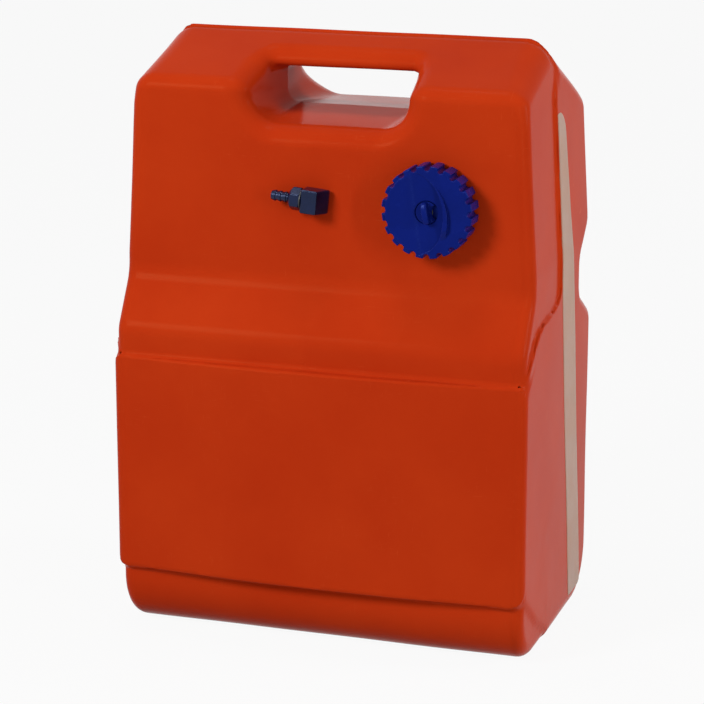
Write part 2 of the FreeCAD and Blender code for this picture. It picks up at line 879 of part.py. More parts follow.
def outlet_bush():
    """Bush in the front wall: flange, swivel bore, ring groove and the pick-up spigot."""
    keep = swivel_station()
    half_groove = swivel_ring_section
    bore = stem_radius + fit
    bore_end = bush_end - bush_end_wall
    spigot_end = bush_end + spigot_length
    return turned([
        (bore, bush_front, hair_edge), (bush_flange_radius, bush_front, fine_edge),
        (bush_flange_radius, upper_face_y - fit, 0), (bush_radius, upper_face_y - fit, 0),
        (bush_radius, bush_end, small_edge), (spigot_radius, bush_end, 0),
        (spigot_radius, spigot_end, small_edge), (spigot_bore, spigot_end, 0),
        (spigot_bore, bore_end, 0), (bore, bore_end, 0), (bore, keep + half_groove, 0),
        (bore + half_groove, keep + half_groove, 0), (bore + half_groove, keep - half_groove, 0),
        (bore, keep - half_groove, 0),
    ], outlet_x, outlet_z)


def swivel_ring():
    """Wire ring, half in the bush and half in the stem's groove."""
    section = swivel_ring_section - fit
    return torus_about_y(outlet_x, swivel_station(), outlet_z, stem_radius + fit, section)


def swivel_washer():
    """Thin thrust washer between the block and the bush flange."""
    return ring(outlet_x, outlet_z, stem_radius + seat, bush_flange_radius - washer_set_in,
                block_back_y + washer_gap_front, bush_front - washer_gap_back)


# --------------------------------------------------------- pick-up and strainer
def bent_bar(radius):
    """Solid of the pick-up tube's route: back from the bush, round the bend and down."""
    start_y = bush_end + 2 * fit
    bend_y = start_y + spigot_length + tube_reach
    down_y = bend_y + tube_bend
    straight = rod(outlet_x, outlet_z, radius, start_y, bend_y)
    circle = Part.makeCircle(radius, Vector(outlet_x, bend_y, outlet_z), Vector(0, 1, 0))
    disc = Part.Face(Part.Wire(circle))
    bend = disc.revolve(Vector(outlet_x, bend_y, outlet_z - tube_bend), Vector(-1, 0, 0), 90)
    drop_top = outlet_z - tube_bend
    foot = Vector(outlet_x, down_y, tube_foot)
    drop = cylinder(radius, drop_top - tube_foot, foot, Vector(0, 0, 1))
    return straight.fuse([bend, drop])


def pickup_tube():
    """Tube from the bush's spigot down to the strainer."""
    return bent_bar(tube_radius).cut(bent_bar(tube_bore))


def tube_clamp():
    """Spring clamp that holds the tube on the spigot."""
    low = bush_end + spigot_length / 2 - clamp_width / 2
    inner = tube_radius + fit
    outer = inner + clamp_thickness
    band = ring(outlet_x, outlet_z, inner, outer, low, low + clamp_width)
    ears = []
    for side in (-1, 1):
        corner = Vector(outlet_x - clamp_thickness / 2 + side * clamp_thickness * clamp_ear_spread,
                        low, outlet_z + inner + clamp_thickness * clamp_ear_sink)
        ears.append(Part.makeBox(clamp_thickness, clamp_width, clamp_ear + clamp_thickness, corner))
    corner = Vector(outlet_x - clamp_slot / 2, low, outlet_z + tube_radius)
    slot = Part.makeBox(clamp_slot, clamp_width, clamp_ear, corner)
    core = rod(outlet_x, outlet_z, inner, low, low + clamp_width)
    return band.fuse(ears).cut([slot, core])


strainer_y = bush_end + 2 * fit + spigot_length + tube_reach + tube_bend


def standing(profile):
    """Solid turned about the strainer's upright axis; corners are (radius, z, round)."""
    wire = rounded_loop(profile, lambda radius, z: Vector(outlet_x + radius, strainer_y, z))
    face = Part.Face(wire)
    return face.revolve(Vector(outlet_x, strainer_y, 0), Vector(0, 0, 1), 360)


def strainer_cage():
    """Cage pushed on the tube's foot: collar, windowed wall and closed base."""
    top = tube_foot + strainer_collar
    inner = strainer_radius - strainer_wall
    collar = tube_radius + fit
    stop = tube_foot - strainer_stop
    base = strainer_foot + strainer_wall
    shell = standing([
        (0, strainer_foot, 0), (strainer_radius, strainer_foot, soft_edge),
        (strainer_radius, top - strainer_shoulder, strainer_shoulder_edge),
        (collar + strainer_wall, top, barb_edge), (collar, top, 0), (collar, tube_foot - fit, 0),
        (tube_bore, tube_foot - fit, 0), (tube_bore, stop, 0), (inner, stop, 0), (inner, base, 0),
        (0, base, 0),
    ])
    width = math.pi * strainer_radius / strainer_windows
    low = (stop + base - strainer_window_height) / 2
    corner = Vector(outlet_x - 2 * strainer_radius, strainer_y - width / 2, low)
    windows = []
    for index in range(strainer_windows // 2):
        window = Part.makeBox(4 * strainer_radius, width, strainer_window_height, corner)
        angle = 360.0 * (index + 0.5) / strainer_windows
        window.rotate(Vector(outlet_x, strainer_y, 0), Vector(0, 0, 1), angle)
        windows.append(window)
    return shell.cut(windows)


def strainer_mesh():
    """Fine mesh sleeve inside the cage."""
    outer = strainer_radius - strainer_wall - fit
    inner = outer - mesh_thickness
    low = strainer_foot + strainer_wall + fit
    high = tube_foot - strainer_stop - fit
    return standing([(inner, low, 0), (outer, low, 0), (outer, high, 0), (inner, high, 0)])


# --------------------------------------------------------------------- output
def export(name, shape):
    """Writes one sub-part."""
    shape.exportStep("parts/" + name + ".step")


def main():
    """Builds every sub-part."""
    os.makedirs("parts", exist_ok=True)
    shell, strip = shell_and_strip()
    export("tank_shell", shell)
    export("sight_strip", strip)
    export("cap_body", cap_body())
    export("cap_gasket", cap_gasket())
    export("splash_disc", splash_disc())
    export("vent_knob", vent_knob())
    export("vent_seal", vent_seal())
    export("vent_clip", vent_clip())
    export("outlet_block", outlet_block())
    export("stem_o_rings", stem_o_rings())
    export("hose_barb", hose_barb())
    export("barb_washer", barb_washer_ring())
    export("outlet_bush", outlet_bush())
    export("swivel_ring", swivel_ring())
    export("swivel_washer", swivel_washer())
    export("pickup_tube", pickup_tube())
    export("tube_clamp", tube_clamp())
    export("strainer_cage", strainer_cage())
    export("strainer_mesh", strainer_mesh())


main()
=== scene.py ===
import logging
import math
from dataclasses import dataclass, replace
from enum import Enum
from typing import Callable, Optional, Sequence

import bpy
import numpy as np
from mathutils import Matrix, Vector


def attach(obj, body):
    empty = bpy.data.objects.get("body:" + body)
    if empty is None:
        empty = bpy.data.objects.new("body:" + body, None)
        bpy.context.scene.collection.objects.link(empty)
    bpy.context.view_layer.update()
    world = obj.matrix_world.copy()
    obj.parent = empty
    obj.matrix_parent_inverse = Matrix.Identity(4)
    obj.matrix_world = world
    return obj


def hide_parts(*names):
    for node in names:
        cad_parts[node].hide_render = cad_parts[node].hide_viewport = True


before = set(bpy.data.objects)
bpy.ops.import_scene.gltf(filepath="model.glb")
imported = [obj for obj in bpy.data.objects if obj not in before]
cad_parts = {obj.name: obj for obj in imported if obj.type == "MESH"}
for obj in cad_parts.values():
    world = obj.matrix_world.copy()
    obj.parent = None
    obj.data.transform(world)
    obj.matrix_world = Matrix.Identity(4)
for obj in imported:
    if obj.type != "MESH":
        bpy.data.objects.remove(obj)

Array = np.ndarray
Field = Callable[[Array, Array, Array], Array]
CornerList = Sequence[tuple[float, float, float]]

MM = 0.001
TURN = 2 * math.pi
LOG = logging.getLogger("tank")
EDGE_ATTRIBUTE = "edge"
GRADING_SAMPLES = 4000
LEAST_ROUNDING = 0.4
FILLER_AXIS = (91.6, 373.2)


# ------------------------------------------------------------------ flat outlines
class Outline:
    """Closed outline of straight runs and round corners, with its signed distance."""

    def __init__(self, corners: CornerList) -> None:
        """Works out the runs and arcs once, from (across, up, radius) corners, anticlockwise."""
        place = np.array([corner[:2] for corner in corners], float)
        self.radius = np.maximum([corner[2] for corner in corners], LEAST_ROUNDING)
        way_in = place - np.roll(place, 1, axis=0)
        way_in /= np.linalg.norm(way_in, axis=1)[:, None]
        way_out = np.roll(way_in, -1, axis=0)
        cross = way_in[:, 0] * way_out[:, 1] - way_in[:, 1] * way_out[:, 0]
        turn = np.arctan2(cross, (way_in * way_out).sum(axis=1))
        setback = (self.radius * np.tan(np.abs(turn) / 2))[:, None]
        self.entry = place - way_in * setback
        self.leave = place + way_out * setback
        self.side = np.sign(turn)
        left = np.stack([-way_in[:, 1], way_in[:, 0]], axis=1)
        self.centre = self.entry + left * (self.side * self.radius)[:, None]
        outward = place - self.centre
        self.outward = outward / np.linalg.norm(outward, axis=1)[:, None]
        self.half_span = np.cos(turn / 2)

    def distance(self, across: Array, up: Array) -> Array:
        """Signed distance to the outline, negative inside.

        The nearest run or arc decides both the distance and the sign: the left of a run is
        inside, and so is the centre's side of an arc that turns left.
        """
        across, up = np.broadcast_arrays(across, up)
        best = np.full(across.shape, np.inf)
        for index in range(len(self.radius)):
            start = self.leave[index]
            end = self.entry[(index + 1) % len(self.radius)]
            best = nearer(best, run_distance(across, up, start, end))
            away_a = across - self.centre[index, 0]
            away_b = up - self.centre[index, 1]
            span = np.hypot(away_a, away_b)
            facing = away_a * self.outward[index, 0] + away_b * self.outward[index, 1]
            arc = (span - self.radius[index]) * self.side[index]
            best = nearer(best, np.where(facing >= self.half_span[index] * span, arc, np.inf))
        return best


def nearer(first: Array, second: Array) -> Array:
    """The value that is nearer to nought, point by point."""
    return np.where(np.abs(second) < np.abs(first), second, first)


def run_distance(across: Array, up: Array, start: Array, end: Array) -> Array:
    """Distance to a straight run, negative on its left.

    The point's foot on the run is clamped to its ends, and the cross product gives the side.
    """
    along = end - start
    length = math.hypot(*along)
    if length < 1e-9:
        return np.full(across.shape, np.inf)
    way = along / length
    off_a = across - start[0]
    off_b = up - start[1]
    foot = np.clip(off_a * way[0] + off_b * way[1], 0, length)
    gap = np.hypot(off_a - foot * way[0], off_b - foot * way[1])
    right = off_a * way[1] - off_b * way[0]
    return np.where(right < 0, -gap, gap)


# --------------------------------------------------------------- joining of fields
def round_max(first: Array, second: Array, radius: Array) -> Array:
    """Meeting of two fields with the outer edge rounded: a quarter circle of that radius."""
    corner = np.hypot(np.maximum(first + radius, 0), np.maximum(second + radius, 0))
    return np.minimum(np.maximum(first, second), -radius) + corner


def round_min(first: Array, second: Array, radius: Array) -> Array:
    """Joining of two fields with the inner corner filled to that radius."""
    return -round_max(-first, -second, radius)


def round_soft(first: Array, second: Array, radius: float) -> Array:
    """The greater of two values, blended over a span where they are close."""
    share = np.clip(0.5 + 0.5 * (first - second) / radius, 0, 1)
    return second + (first - second) * share + radius * share * (1 - share)


def smooth_step(low: float, high: float, value: Array) -> Array:
    """Rises evenly from 0 at low to 1 at high, with level ends."""
    share = np.clip((value - low) / (high - low), 0, 1)
    return share * share * (3 - 2 * share)


def leaning(across: Array, up: Array, degrees: float) -> tuple[Array, Array]:
    """A point's place in directions that lean by an angle."""
    lean = math.radians(degrees)
    return (across * math.cos(lean) - up * math.sin(lean),
            across * math.sin(lean) + up * math.cos(lean))


def oval_distance(across: Array, up: Array, half_width: float, half_height: float) -> Array:
    """Nearly the distance to an upright oval: its level function over that function's slope."""
    level = np.hypot(across / half_width, up / half_height)
    slope = np.hypot(across / half_width ** 2, up / half_height ** 2)
    return level * (level - 1) / np.maximum(slope, 1e-9)


# ------------------------------------------------------------- surfaces of a field
def graded(places: Sequence[tuple[float, float]]) -> Array:
    """Lattice stations whose spacing changes evenly between given (place, spacing) pairs.

    The stations are even steps of the running total of one over the spacing.
    """
    spots, steps = np.array(places, float).T
    fine = np.linspace(spots[0], spots[-1], GRADING_SAMPLES)
    density = 1 / np.interp(fine, spots, steps)
    total = np.concatenate([[0], np.cumsum((density[1:] + density[:-1]) / 2 * np.diff(fine))])
    return np.interp(np.linspace(0, total[-1], int(round(total[-1])) + 1), total, fine)


@dataclass
class Skin:
    """A surface in millimetres: points, four-sided faces, and a value and a normal per point."""

    points: Array
    faces: Array
    normals: Optional[Array] = None
    edge: Optional[Array] = None


@dataclass(frozen=True)
class Lattice:
    """A box lattice, on which the level surface of a field is found.

    probe is half the span of a slope's samples. edge_curve turns summed curvature into the edge's
    share. pull draws each cell's point towards the middle of its cuts, and most_shift limits the
    last step on to the surface.
    """

    stations: tuple[Array, Array, Array]
    probe: float = 0.25
    edge_curve: float = 0.22
    pull: float = 0.08
    most_shift: float = 0.5

    def slopes(self, shape: Field, points: Array) -> tuple[Array, Array, Array]:
        """Value, unit normal and summed curvature of a field at some points.

        Central differences give the slope, and the same six samples the curvature.
        """
        x, y, z = points.T
        here = shape(x, y, z)
        slope = np.empty_like(points)
        bend = -6 * here
        for axis in range(3):
            step = np.zeros(3)
            step[axis] = self.probe
            ahead = shape(*(points + step).T)
            behind = shape(*(points - step).T)
            slope[:, axis] = (ahead - behind) / (2 * self.probe)
            bend = bend + ahead + behind
        size = np.maximum(np.linalg.norm(slope, axis=1), 1e-6)
        return here / size, slope / size[:, None], bend / self.probe ** 2

    def skin(self, shape: Field) -> Skin:
        """The surface where a field is nought, with its creases kept.

        Each lattice edge that changes sign is cut where the field is nought. Each cell that
        such an edge touches gets one point, where the tangent planes at its cuts meet most
        nearly, and each cut edge gets the face of its four cells.
        """
        grid = self.stations
        value = shape(grid[0][:, None, None], grid[1][None, :, None], grid[2][None, None, :])
        value = np.broadcast_to(value, tuple(len(stations) for stations in grid))
        quads, cuts, order = [], [], []
        for axis in range(3):
            low = np.take(value, range(value.shape[axis] - 1), axis)
            high = np.take(value, range(1, value.shape[axis]), axis)
            place = np.stack(np.nonzero((low < 0) != (high < 0)), axis=1)
            here, there = low[tuple(place.T)], high[tuple(place.T)]
            point = np.stack([grid[k][place[:, k]] for k in range(3)], axis=1)
            step = grid[axis][place[:, axis] + 1] - grid[axis][place[:, axis]]
            point[:, axis] += step * here / (here - there)
            cuts.append(point)
            second, third = (axis + 1) % 3, (axis + 2) % 3
            around = []
            for back_two, back_three in ((1, 1), (0, 1), (0, 0), (1, 0)):
                cell = place.copy()
                cell[:, second] -= back_two
                cell[:, third] -= back_three
                around.append(np.ravel_multi_index(tuple(cell.T), value.shape))
            quads.append(np.stack(around, axis=1))
            order.append(here < 0)
        cuts, quads = np.concatenate(cuts), np.concatenate(quads)
        outward = np.concatenate(order)
        quads[~outward] = quads[~outward][:, ::-1]
        used, faces = np.unique(quads, return_inverse=True)
        faces = faces.reshape(quads.shape)
        points = self._meet(shape, cuts, faces, used, value.shape)
        gap, normals, bend = self.slopes(shape, points)
        points = points - normals * np.clip(gap, -self.most_shift, self.most_shift)[:, None]
        edge = np.clip(bend * self.edge_curve, 0, 1)
        return Skin(points, faces, normals, edge)

    def _meet(self, shape: Field, cuts: Array, faces: Array, used: Array,
              size: tuple[int, ...]) -> Array:
        """The point of each cell that is nearest to all its tangent planes.

        A least-squares solution, drawn a little towards the middle of the cuts, and kept
        inside the cell.
        """
        gap, normals, _ = self.slopes(shape, cuts)
        cuts = cuts - normals * gap[:, None]
        cell = faces.ravel()
        count = np.bincount(cell, minlength=len(used)).astype(float)

        def gathered(values: Array) -> Array:
            """Sum of a value of the cuts over each cell."""
            return np.bincount(cell, np.repeat(values, 4), len(used))

        middle = np.stack([gathered(cuts[:, k]) for k in range(3)], axis=1) / count[:, None]
        reach = (normals * cuts).sum(axis=1)
        matrix = np.empty((len(used), 3, 3))
        target = np.empty((len(used), 3))
        for row in range(3):
            target[:, row] = gathered(normals[:, row] * reach)
            for column in range(3):
                matrix[:, row, column] = gathered(normals[:, row] * normals[:, column])
        target -= np.einsum("nij,nj->ni", matrix, middle)
        matrix += np.eye(3) * (self.pull * count)[:, None, None]
        points = middle + np.linalg.solve(matrix, target[:, :, None])[:, :, 0]
        index = np.unravel_index(used, size)
        for axis, stations in enumerate(self.stations):
            low = stations[index[axis]]
            high = stations[index[axis] + 1]
            points[:, axis] = np.clip(points[:, axis], low, high)
        return points


def box_lattice(x: float, z: float, half: float, step: float, deep: Sequence[tuple[float, float]],
                probe: float, edge_curve: float) -> Lattice:
    """A lattice round a small piece: even across and up, and graded along its depth."""
    across = graded([(x - half, step), (x + half, step)])
    up = graded([(z - half, step), (z + half, step)])
    return Lattice((across, graded(deep), up), probe=probe, edge_curve=edge_curve)


# ------------------------------------------------------------- surfaces of a grid
def grid_skin(points: Array, round_columns: bool = False, close_ends: bool = False) -> Skin:
    """Four-sided faces over a grid of points, each of whose rows closes on itself.

    Args:
        points: rows by columns by three.
        round_columns: the last row meets the first.
        close_ends: the first and last rows are gathered to their middle point.
    """
    if close_ends:
        first = np.repeat(points[:1].mean(axis=1, keepdims=True), points.shape[1], axis=1)
        last = np.repeat(points[-1:].mean(axis=1, keepdims=True), points.shape[1], axis=1)
        points = np.concatenate([first, points, last])
    rows, columns = points.shape[:2]
    row = np.arange(rows if round_columns else rows - 1)[:, None]
    column = np.arange(columns)[None, :]
    next_row, next_column = (row + 1) % rows, (column + 1) % columns
    faces = np.stack([row * columns + column, row * columns + next_column,
                      next_row * columns + next_column, next_row * columns + column], axis=-1)
    return Skin(points.reshape(-1, 3), faces.reshape(-1, 4))


def rounded_profile(corners: CornerList, arc_step: float = 12.0, closed: bool = False,
                    run_step: float = 1e9) -> Array:
    """Points along a line of straight runs and round corners.

    Args:
        corners: (first, second, radius) in order.
        arc_step: degrees between points on an arc.
        closed: whether the line returns to its start.
        run_step: the longest straight step.

    Returns:
        One row of two coordinates for each point.
    """
    places = np.array([corner[:2] for corner in corners], float)
    count = len(corners)
    found = []
    for index, here in enumerate(places):
        radius = corners[index][2]
        if radius <= 0 or (not closed and index in (0, count - 1)):
            found.append(here[None])
            continue
        way_in = here - places[index - 1]
        way_out = places[(index + 1) % count] - here
        way_in, way_out = way_in / np.linalg.norm(way_in), way_out / np.linalg.norm(way_out)
        cross = way_in[0] * way_out[1] - way_in[1] * way_out[0]
        turn = math.atan2(cross, float(way_in @ way_out))
        setback = radius * math.tan(abs(turn) / 2)
        left = np.array([-way_in[1], way_in[0]]) * math.copysign(1, turn)
        centre = here - way_in * setback + left * radius
        steps = max(2, int(math.ceil(abs(math.degrees(turn)) / arc_step)) + 1)
        angle = np.linspace(0, turn, steps)[:, None]
        start = -left * radius
        swung = np.stack([-start[1], start[0]])[None]
        found.append(centre + start * np.cos(angle) + swung * np.sin(angle))
    line = np.concatenate(found)
    if closed:
        line = np.concatenate([line, line[:1]])
    parts = []
    for here, there in zip(line[:-1], line[1:]):
        pieces = max(1, int(math.ceil(np.linalg.norm(there - here) / run_step)))
        parts.append(here + (there - here) * (np.arange(pieces) / pieces)[:, None])
    if not closed:
        parts.append(line[-1:])
    return np.concatenate(parts)


def turned(profile: Array, x: float, z: float, around: int,
           swell: Optional[Callable[[Array, Array], Array]] = None) -> Skin:
    """Closed surface turned about an axis along Y: a profile carried round a circle.

    The profile is a closed loop of (radius, y) with the solid on its left. swell changes the
    radius by the angle and y.
    """
    angle = np.linspace(0, TURN, around, endpoint=False)[None, :]
    radius = profile[:, :1] + np.zeros_like(angle)
    depth = profile[:, 1:] + np.zeros_like(angle)
    if swell is not None:
        radius = radius + swell(angle, depth) * (profile[:, :1] > 0)
    points = np.stack([x + radius * np.cos(angle), depth, z + radius * np.sin(angle)], axis=-1)
    return grid_skin(points, round_columns=True)


def swung(skin: Skin, x: float, z: float, degrees: float) -> Skin:
    """The surface swung about the line along Y at (x, z), as a hand turns a knob seen from behind."""
    angle = math.radians(degrees)
    turn = np.array([[math.cos(angle), 0, math.sin(angle)], [0, 1, 0],
                     [-math.sin(angle), 0, math.cos(angle)]])
    centre = np.array([x, 0, z])
    normals = None if skin.normals is None else skin.normals @ turn.T
    return replace(skin, points=(skin.points - centre) @ turn.T + centre, normals=normals)


def joined(skins: Sequence[Skin]) -> Skin:
    """Several surfaces as one."""
    offsets = np.cumsum([0] + [len(skin.points) for skin in skins[:-1]])
    return Skin(np.concatenate([skin.points for skin in skins]),
                np.concatenate([skin.faces + shift for skin, shift in zip(skins, offsets)]))


def edge_from_mesh(mesh: bpy.types.Mesh) -> Array:
    """How sharply a mesh turns outwards at each point, from 0 to 1.

    Along each edge, the change of the normals over the edge's length, averaged at its ends.
    """
    count = len(mesh.vertices)
    place = np.empty(count * 3)
    normal = np.empty(count * 3)
    ends = np.empty(len(mesh.edges) * 2, np.int32)
    mesh.vertices.foreach_get("co", place)
    mesh.vertices.foreach_get("normal", normal)
    mesh.edges.foreach_get("vertices", ends)
    place, normal, ends = place.reshape(-1, 3) / MM, normal.reshape(-1, 3), ends.reshape(-1, 2)
    way = place[ends[:, 1]] - place[ends[:, 0]]
    change = normal[ends[:, 1]] - normal[ends[:, 0]]
    bend = (way * change).sum(axis=1) / np.maximum((way * way).sum(axis=1), 1e-6)
    total = np.bincount(ends.ravel(), np.repeat(bend, 2), count)
    shares = np.maximum(np.bincount(ends.ravel(), minlength=count), 1)
    return np.clip(total / shares * 0.5, 0, 1)


# ------------------------------------------------------------------- shader groups
def new_node(tree: bpy.types.NodeTree, kind: str, inputs: Optional[dict] = None,
             **settings: object) -> bpy.types.Node:
    """A node with its settings made and its inputs set or linked."""
    node = tree.nodes.new(kind)
    for name, value in settings.items():
        setattr(node, name, value)
    for key, value in (inputs or {}).items():
        if isinstance(value, bpy.types.NodeSocket):
            tree.links.new(value, node.inputs[key])
        else:
            node.inputs[key].default_value = value
    return node


def new_group(name: str, inputs: dict[str, str], outputs: dict[str, str]) -> tuple:
    """An empty shader group: its tree, its input sockets by name, and its output node."""
    tree = bpy.data.node_groups.new(name, "ShaderNodeTree")
    for label, kind in inputs.items():
        tree.interface.new_socket(label, in_out="INPUT", socket_type=kind)
    for label, kind in outputs.items():
        tree.interface.new_socket(label, in_out="OUTPUT", socket_type=kind)
    given = tree.nodes.new("NodeGroupInput")
    wanted = tree.nodes.new("NodeGroupOutput")
    return tree, given.outputs, wanted


def calc(tree: bpy.types.NodeTree, operation: str, first: object, second: object = 0.0,
         clamp: bool = False) -> bpy.types.NodeSocket:
    """One step of arithmetic."""
    return new_node(tree, "ShaderNodeMath", {0: first, 1: second}, operation=operation,
                    use_clamp=clamp).outputs[0]


def noise(tree: bpy.types.NodeTree, place: object, scale: object, detail: float = 2.0,
          roughness: float = 0.5, distortion: float = 0.0) -> bpy.types.NodeSocket:
    """Soft noise between 0 and 1."""
    return new_node(tree, "ShaderNodeTexNoise", {
        "Vector": place, "Scale": scale, "Detail": detail, "Roughness": roughness,
        "Distortion": distortion}).outputs["Fac"]


def ramp(tree: bpy.types.NodeTree, value: object, low: float, high: float,
         to_low: float = 0.0, to_high: float = 1.0) -> bpy.types.NodeSocket:
    """A value's range moved to another range, with soft ends."""
    return new_node(tree, "ShaderNodeMapRange", {
        "Value": value, "From Min": low, "From Max": high, "To Min": to_low,
        "To Max": to_high}, interpolation_type="SMOOTHSTEP").outputs["Result"]


SCALAR = "NodeSocketFloat"
PLACE = "NodeSocketVector"


def moulded_grain() -> bpy.types.NodeTree:
    """Skin of moulded plastic: slow waves, a fine pebble and clouds of tone."""
    tree, given, wanted = new_group(
        "moulded_grain",
        {"Place": PLACE, "Pebble Scale": SCALAR, "Wave Scale": SCALAR, "Pebble": SCALAR},
        {"Height": SCALAR, "Cloud": SCALAR})
    pebble = noise(tree, given["Place"], given["Pebble Scale"], 3.0, 0.6)
    wave = noise(tree, given["Place"], given["Wave Scale"], 2.0, 0.4, 0.6)
    cloud = noise(tree, given["Place"], calc(tree, "MULTIPLY", given["Wave Scale"], 0.45), 4.0, 0.6)
    height = calc(tree, "ADD", calc(tree, "MULTIPLY", pebble, given["Pebble"]), wave)
    tree.links.new(height, wanted.inputs["Height"])
    tree.links.new(ramp(tree, cloud, 0.3, 0.7), wanted.inputs["Cloud"])
    return tree


def edge_wear() -> bpy.types.NodeTree:
    """Mask of rubbed outer edges, broken up by noise."""
    tree, given, wanted = new_group(
        "edge_wear", {"Place": PLACE, "Edge": SCALAR, "Break Scale": SCALAR, "Amount": SCALAR},
        {"Mask": SCALAR})
    broken = ramp(tree, noise(tree, given["Place"], given["Break Scale"], 4.0, 0.65), 0.38, 0.66)
    worn = calc(tree, "MULTIPLY", ramp(tree, given["Edge"], 0.12, 0.8), broken)
    tree.links.new(calc(tree, "MULTIPLY", worn, given["Amount"], True), wanted.inputs["Mask"])
    return tree


def fine_scuffs() -> bpy.types.NodeTree:
    """Mask of thin handling scratches in two directions, in patches."""
    tree, given, wanted = new_group(
        "fine_scuffs", {"Place": PLACE, "Scale": SCALAR, "Amount": SCALAR}, {"Mask": SCALAR})
    masks = []
    for turn, stretch in (((0.3, 0.5, 0.2), (1.0, 1.0, 16.0)), ((0.9, 0.1, 1.1), (14.0, 1.0, 1.0))):
        moved = new_node(tree, "ShaderNodeMapping", {
            "Vector": given["Place"], "Rotation": turn, "Scale": stretch}).outputs["Vector"]
        masks.append(ramp(tree, noise(tree, moved, given["Scale"], 2.0, 0.5), 0.66, 0.74))
    patch = ramp(tree, noise(tree, given["Place"], calc(tree, "MULTIPLY", given["Scale"], 0.2), 1.0),
                 0.48, 0.68)
    both = calc(tree, "MULTIPLY", calc(tree, "MAXIMUM", *masks), patch)
    tree.links.new(calc(tree, "MULTIPLY", both, given["Amount"], True), wanted.inputs["Mask"])
    return tree


class Effect(Enum):
    """The shader groups that several finishes share."""

    GRAIN = "moulded_grain"
    WEAR = "edge_wear"
    SCUFF = "fine_scuffs"


EFFECT_MAKERS = {Effect.GRAIN: moulded_grain, Effect.WEAR: edge_wear, Effect.SCUFF: fine_scuffs}


def group_node(tree: bpy.types.NodeTree, which: Effect, inputs: dict) -> bpy.types.Node:
    """A shared group node with its inputs set by name."""
    group = bpy.data.node_groups.get(which.value) or EFFECT_MAKERS[which]()
    return new_node(tree, "ShaderNodeGroup", inputs, node_tree=group)


# ------------------------------------------------------------------------ finishes
@dataclass(frozen=True)
class Finish:
    """One finish: its colours, gloss, grain and wear. Colours are linear."""

    name: str
    colour: tuple[float, float, float]
    deep: tuple[float, float, float]
    worn: tuple[float, float, float]
    gloss: tuple[float, float] = (0.30, 0.42)
    pebble_scale: float = 900.0
    wave_scale: float = 24.0
    pebble: float = 0.25
    bump: float = 0.0005
    wear: float = 0.4
    break_scale: float = 260.0
    scuff: float = 0.25
    scuff_scale: float = 90.0
    metallic: float = 0.0
    ior: float = 1.5
    specular: float = 0.5
    specular_tint: tuple[float, float, float] = (1.0, 1.0, 1.0)
    subsurface: float = 0.0
    subsurface_reach: float = 0.004
    subsurface_radius: tuple[float, float, float] = (1.0, 0.35, 0.2)

    def material(self) -> bpy.types.Material:
        """The finish as a material."""
        made = bpy.data.materials.new(self.name)
        made.use_nodes = True
        tree = made.node_tree
        tree.nodes.clear()
        place = new_node(tree, "ShaderNodeTexCoord").outputs["Object"]
        edge = new_node(tree, "ShaderNodeAttribute", attribute_name=EDGE_ATTRIBUTE).outputs["Fac"]
        grain = group_node(tree, Effect.GRAIN, {
            "Place": place, "Pebble Scale": self.pebble_scale, "Wave Scale": self.wave_scale,
            "Pebble": self.pebble})
        wear = group_node(tree, Effect.WEAR, {
            "Place": place, "Edge": edge, "Break Scale": self.break_scale, "Amount": self.wear})
        scuff = group_node(tree, Effect.SCUFF, {
            "Place": place, "Scale": self.scuff_scale, "Amount": self.scuff})
        marks = calc(tree, "MAXIMUM", wear.outputs["Mask"], scuff.outputs["Mask"])
        tone = self.mixed(tree, grain.outputs["Cloud"], (*self.deep, 1), (*self.colour, 1))
        tone = self.mixed(tree, marks, tone, (*self.worn, 1))
        rough = ramp(tree, grain.outputs["Cloud"], 0, 1, self.gloss[0], self.gloss[1])
        rough = calc(tree, "ADD", rough, calc(tree, "MULTIPLY", marks, 0.25), True)
        bump = new_node(tree, "ShaderNodeBump", {
            "Height": grain.outputs["Height"], "Distance": self.bump, "Strength": 1.0})
        shader = new_node(tree, "ShaderNodeBsdfPrincipled", {
            "Base Color": tone, "Roughness": rough, "Normal": bump.outputs["Normal"],
            "Metallic": self.metallic, "IOR": self.ior, "Specular IOR Level": self.specular,
            "Specular Tint": (*self.specular_tint, 1),
            "Subsurface Weight": self.subsurface, "Subsurface Scale": self.subsurface_reach,
            "Subsurface Radius": self.subsurface_radius})
        new_node(tree, "ShaderNodeOutputMaterial", {"Surface": shader.outputs[0]})
        return made

    @staticmethod
    def mixed(tree: bpy.types.NodeTree, share: object, first: object,
              second: object) -> bpy.types.NodeSocket:
        """Two colours mixed by a share."""
        node = new_node(tree, "ShaderNodeMix", {0: share, 6: first, 7: second}, data_type="RGBA")
        return node.outputs[2]


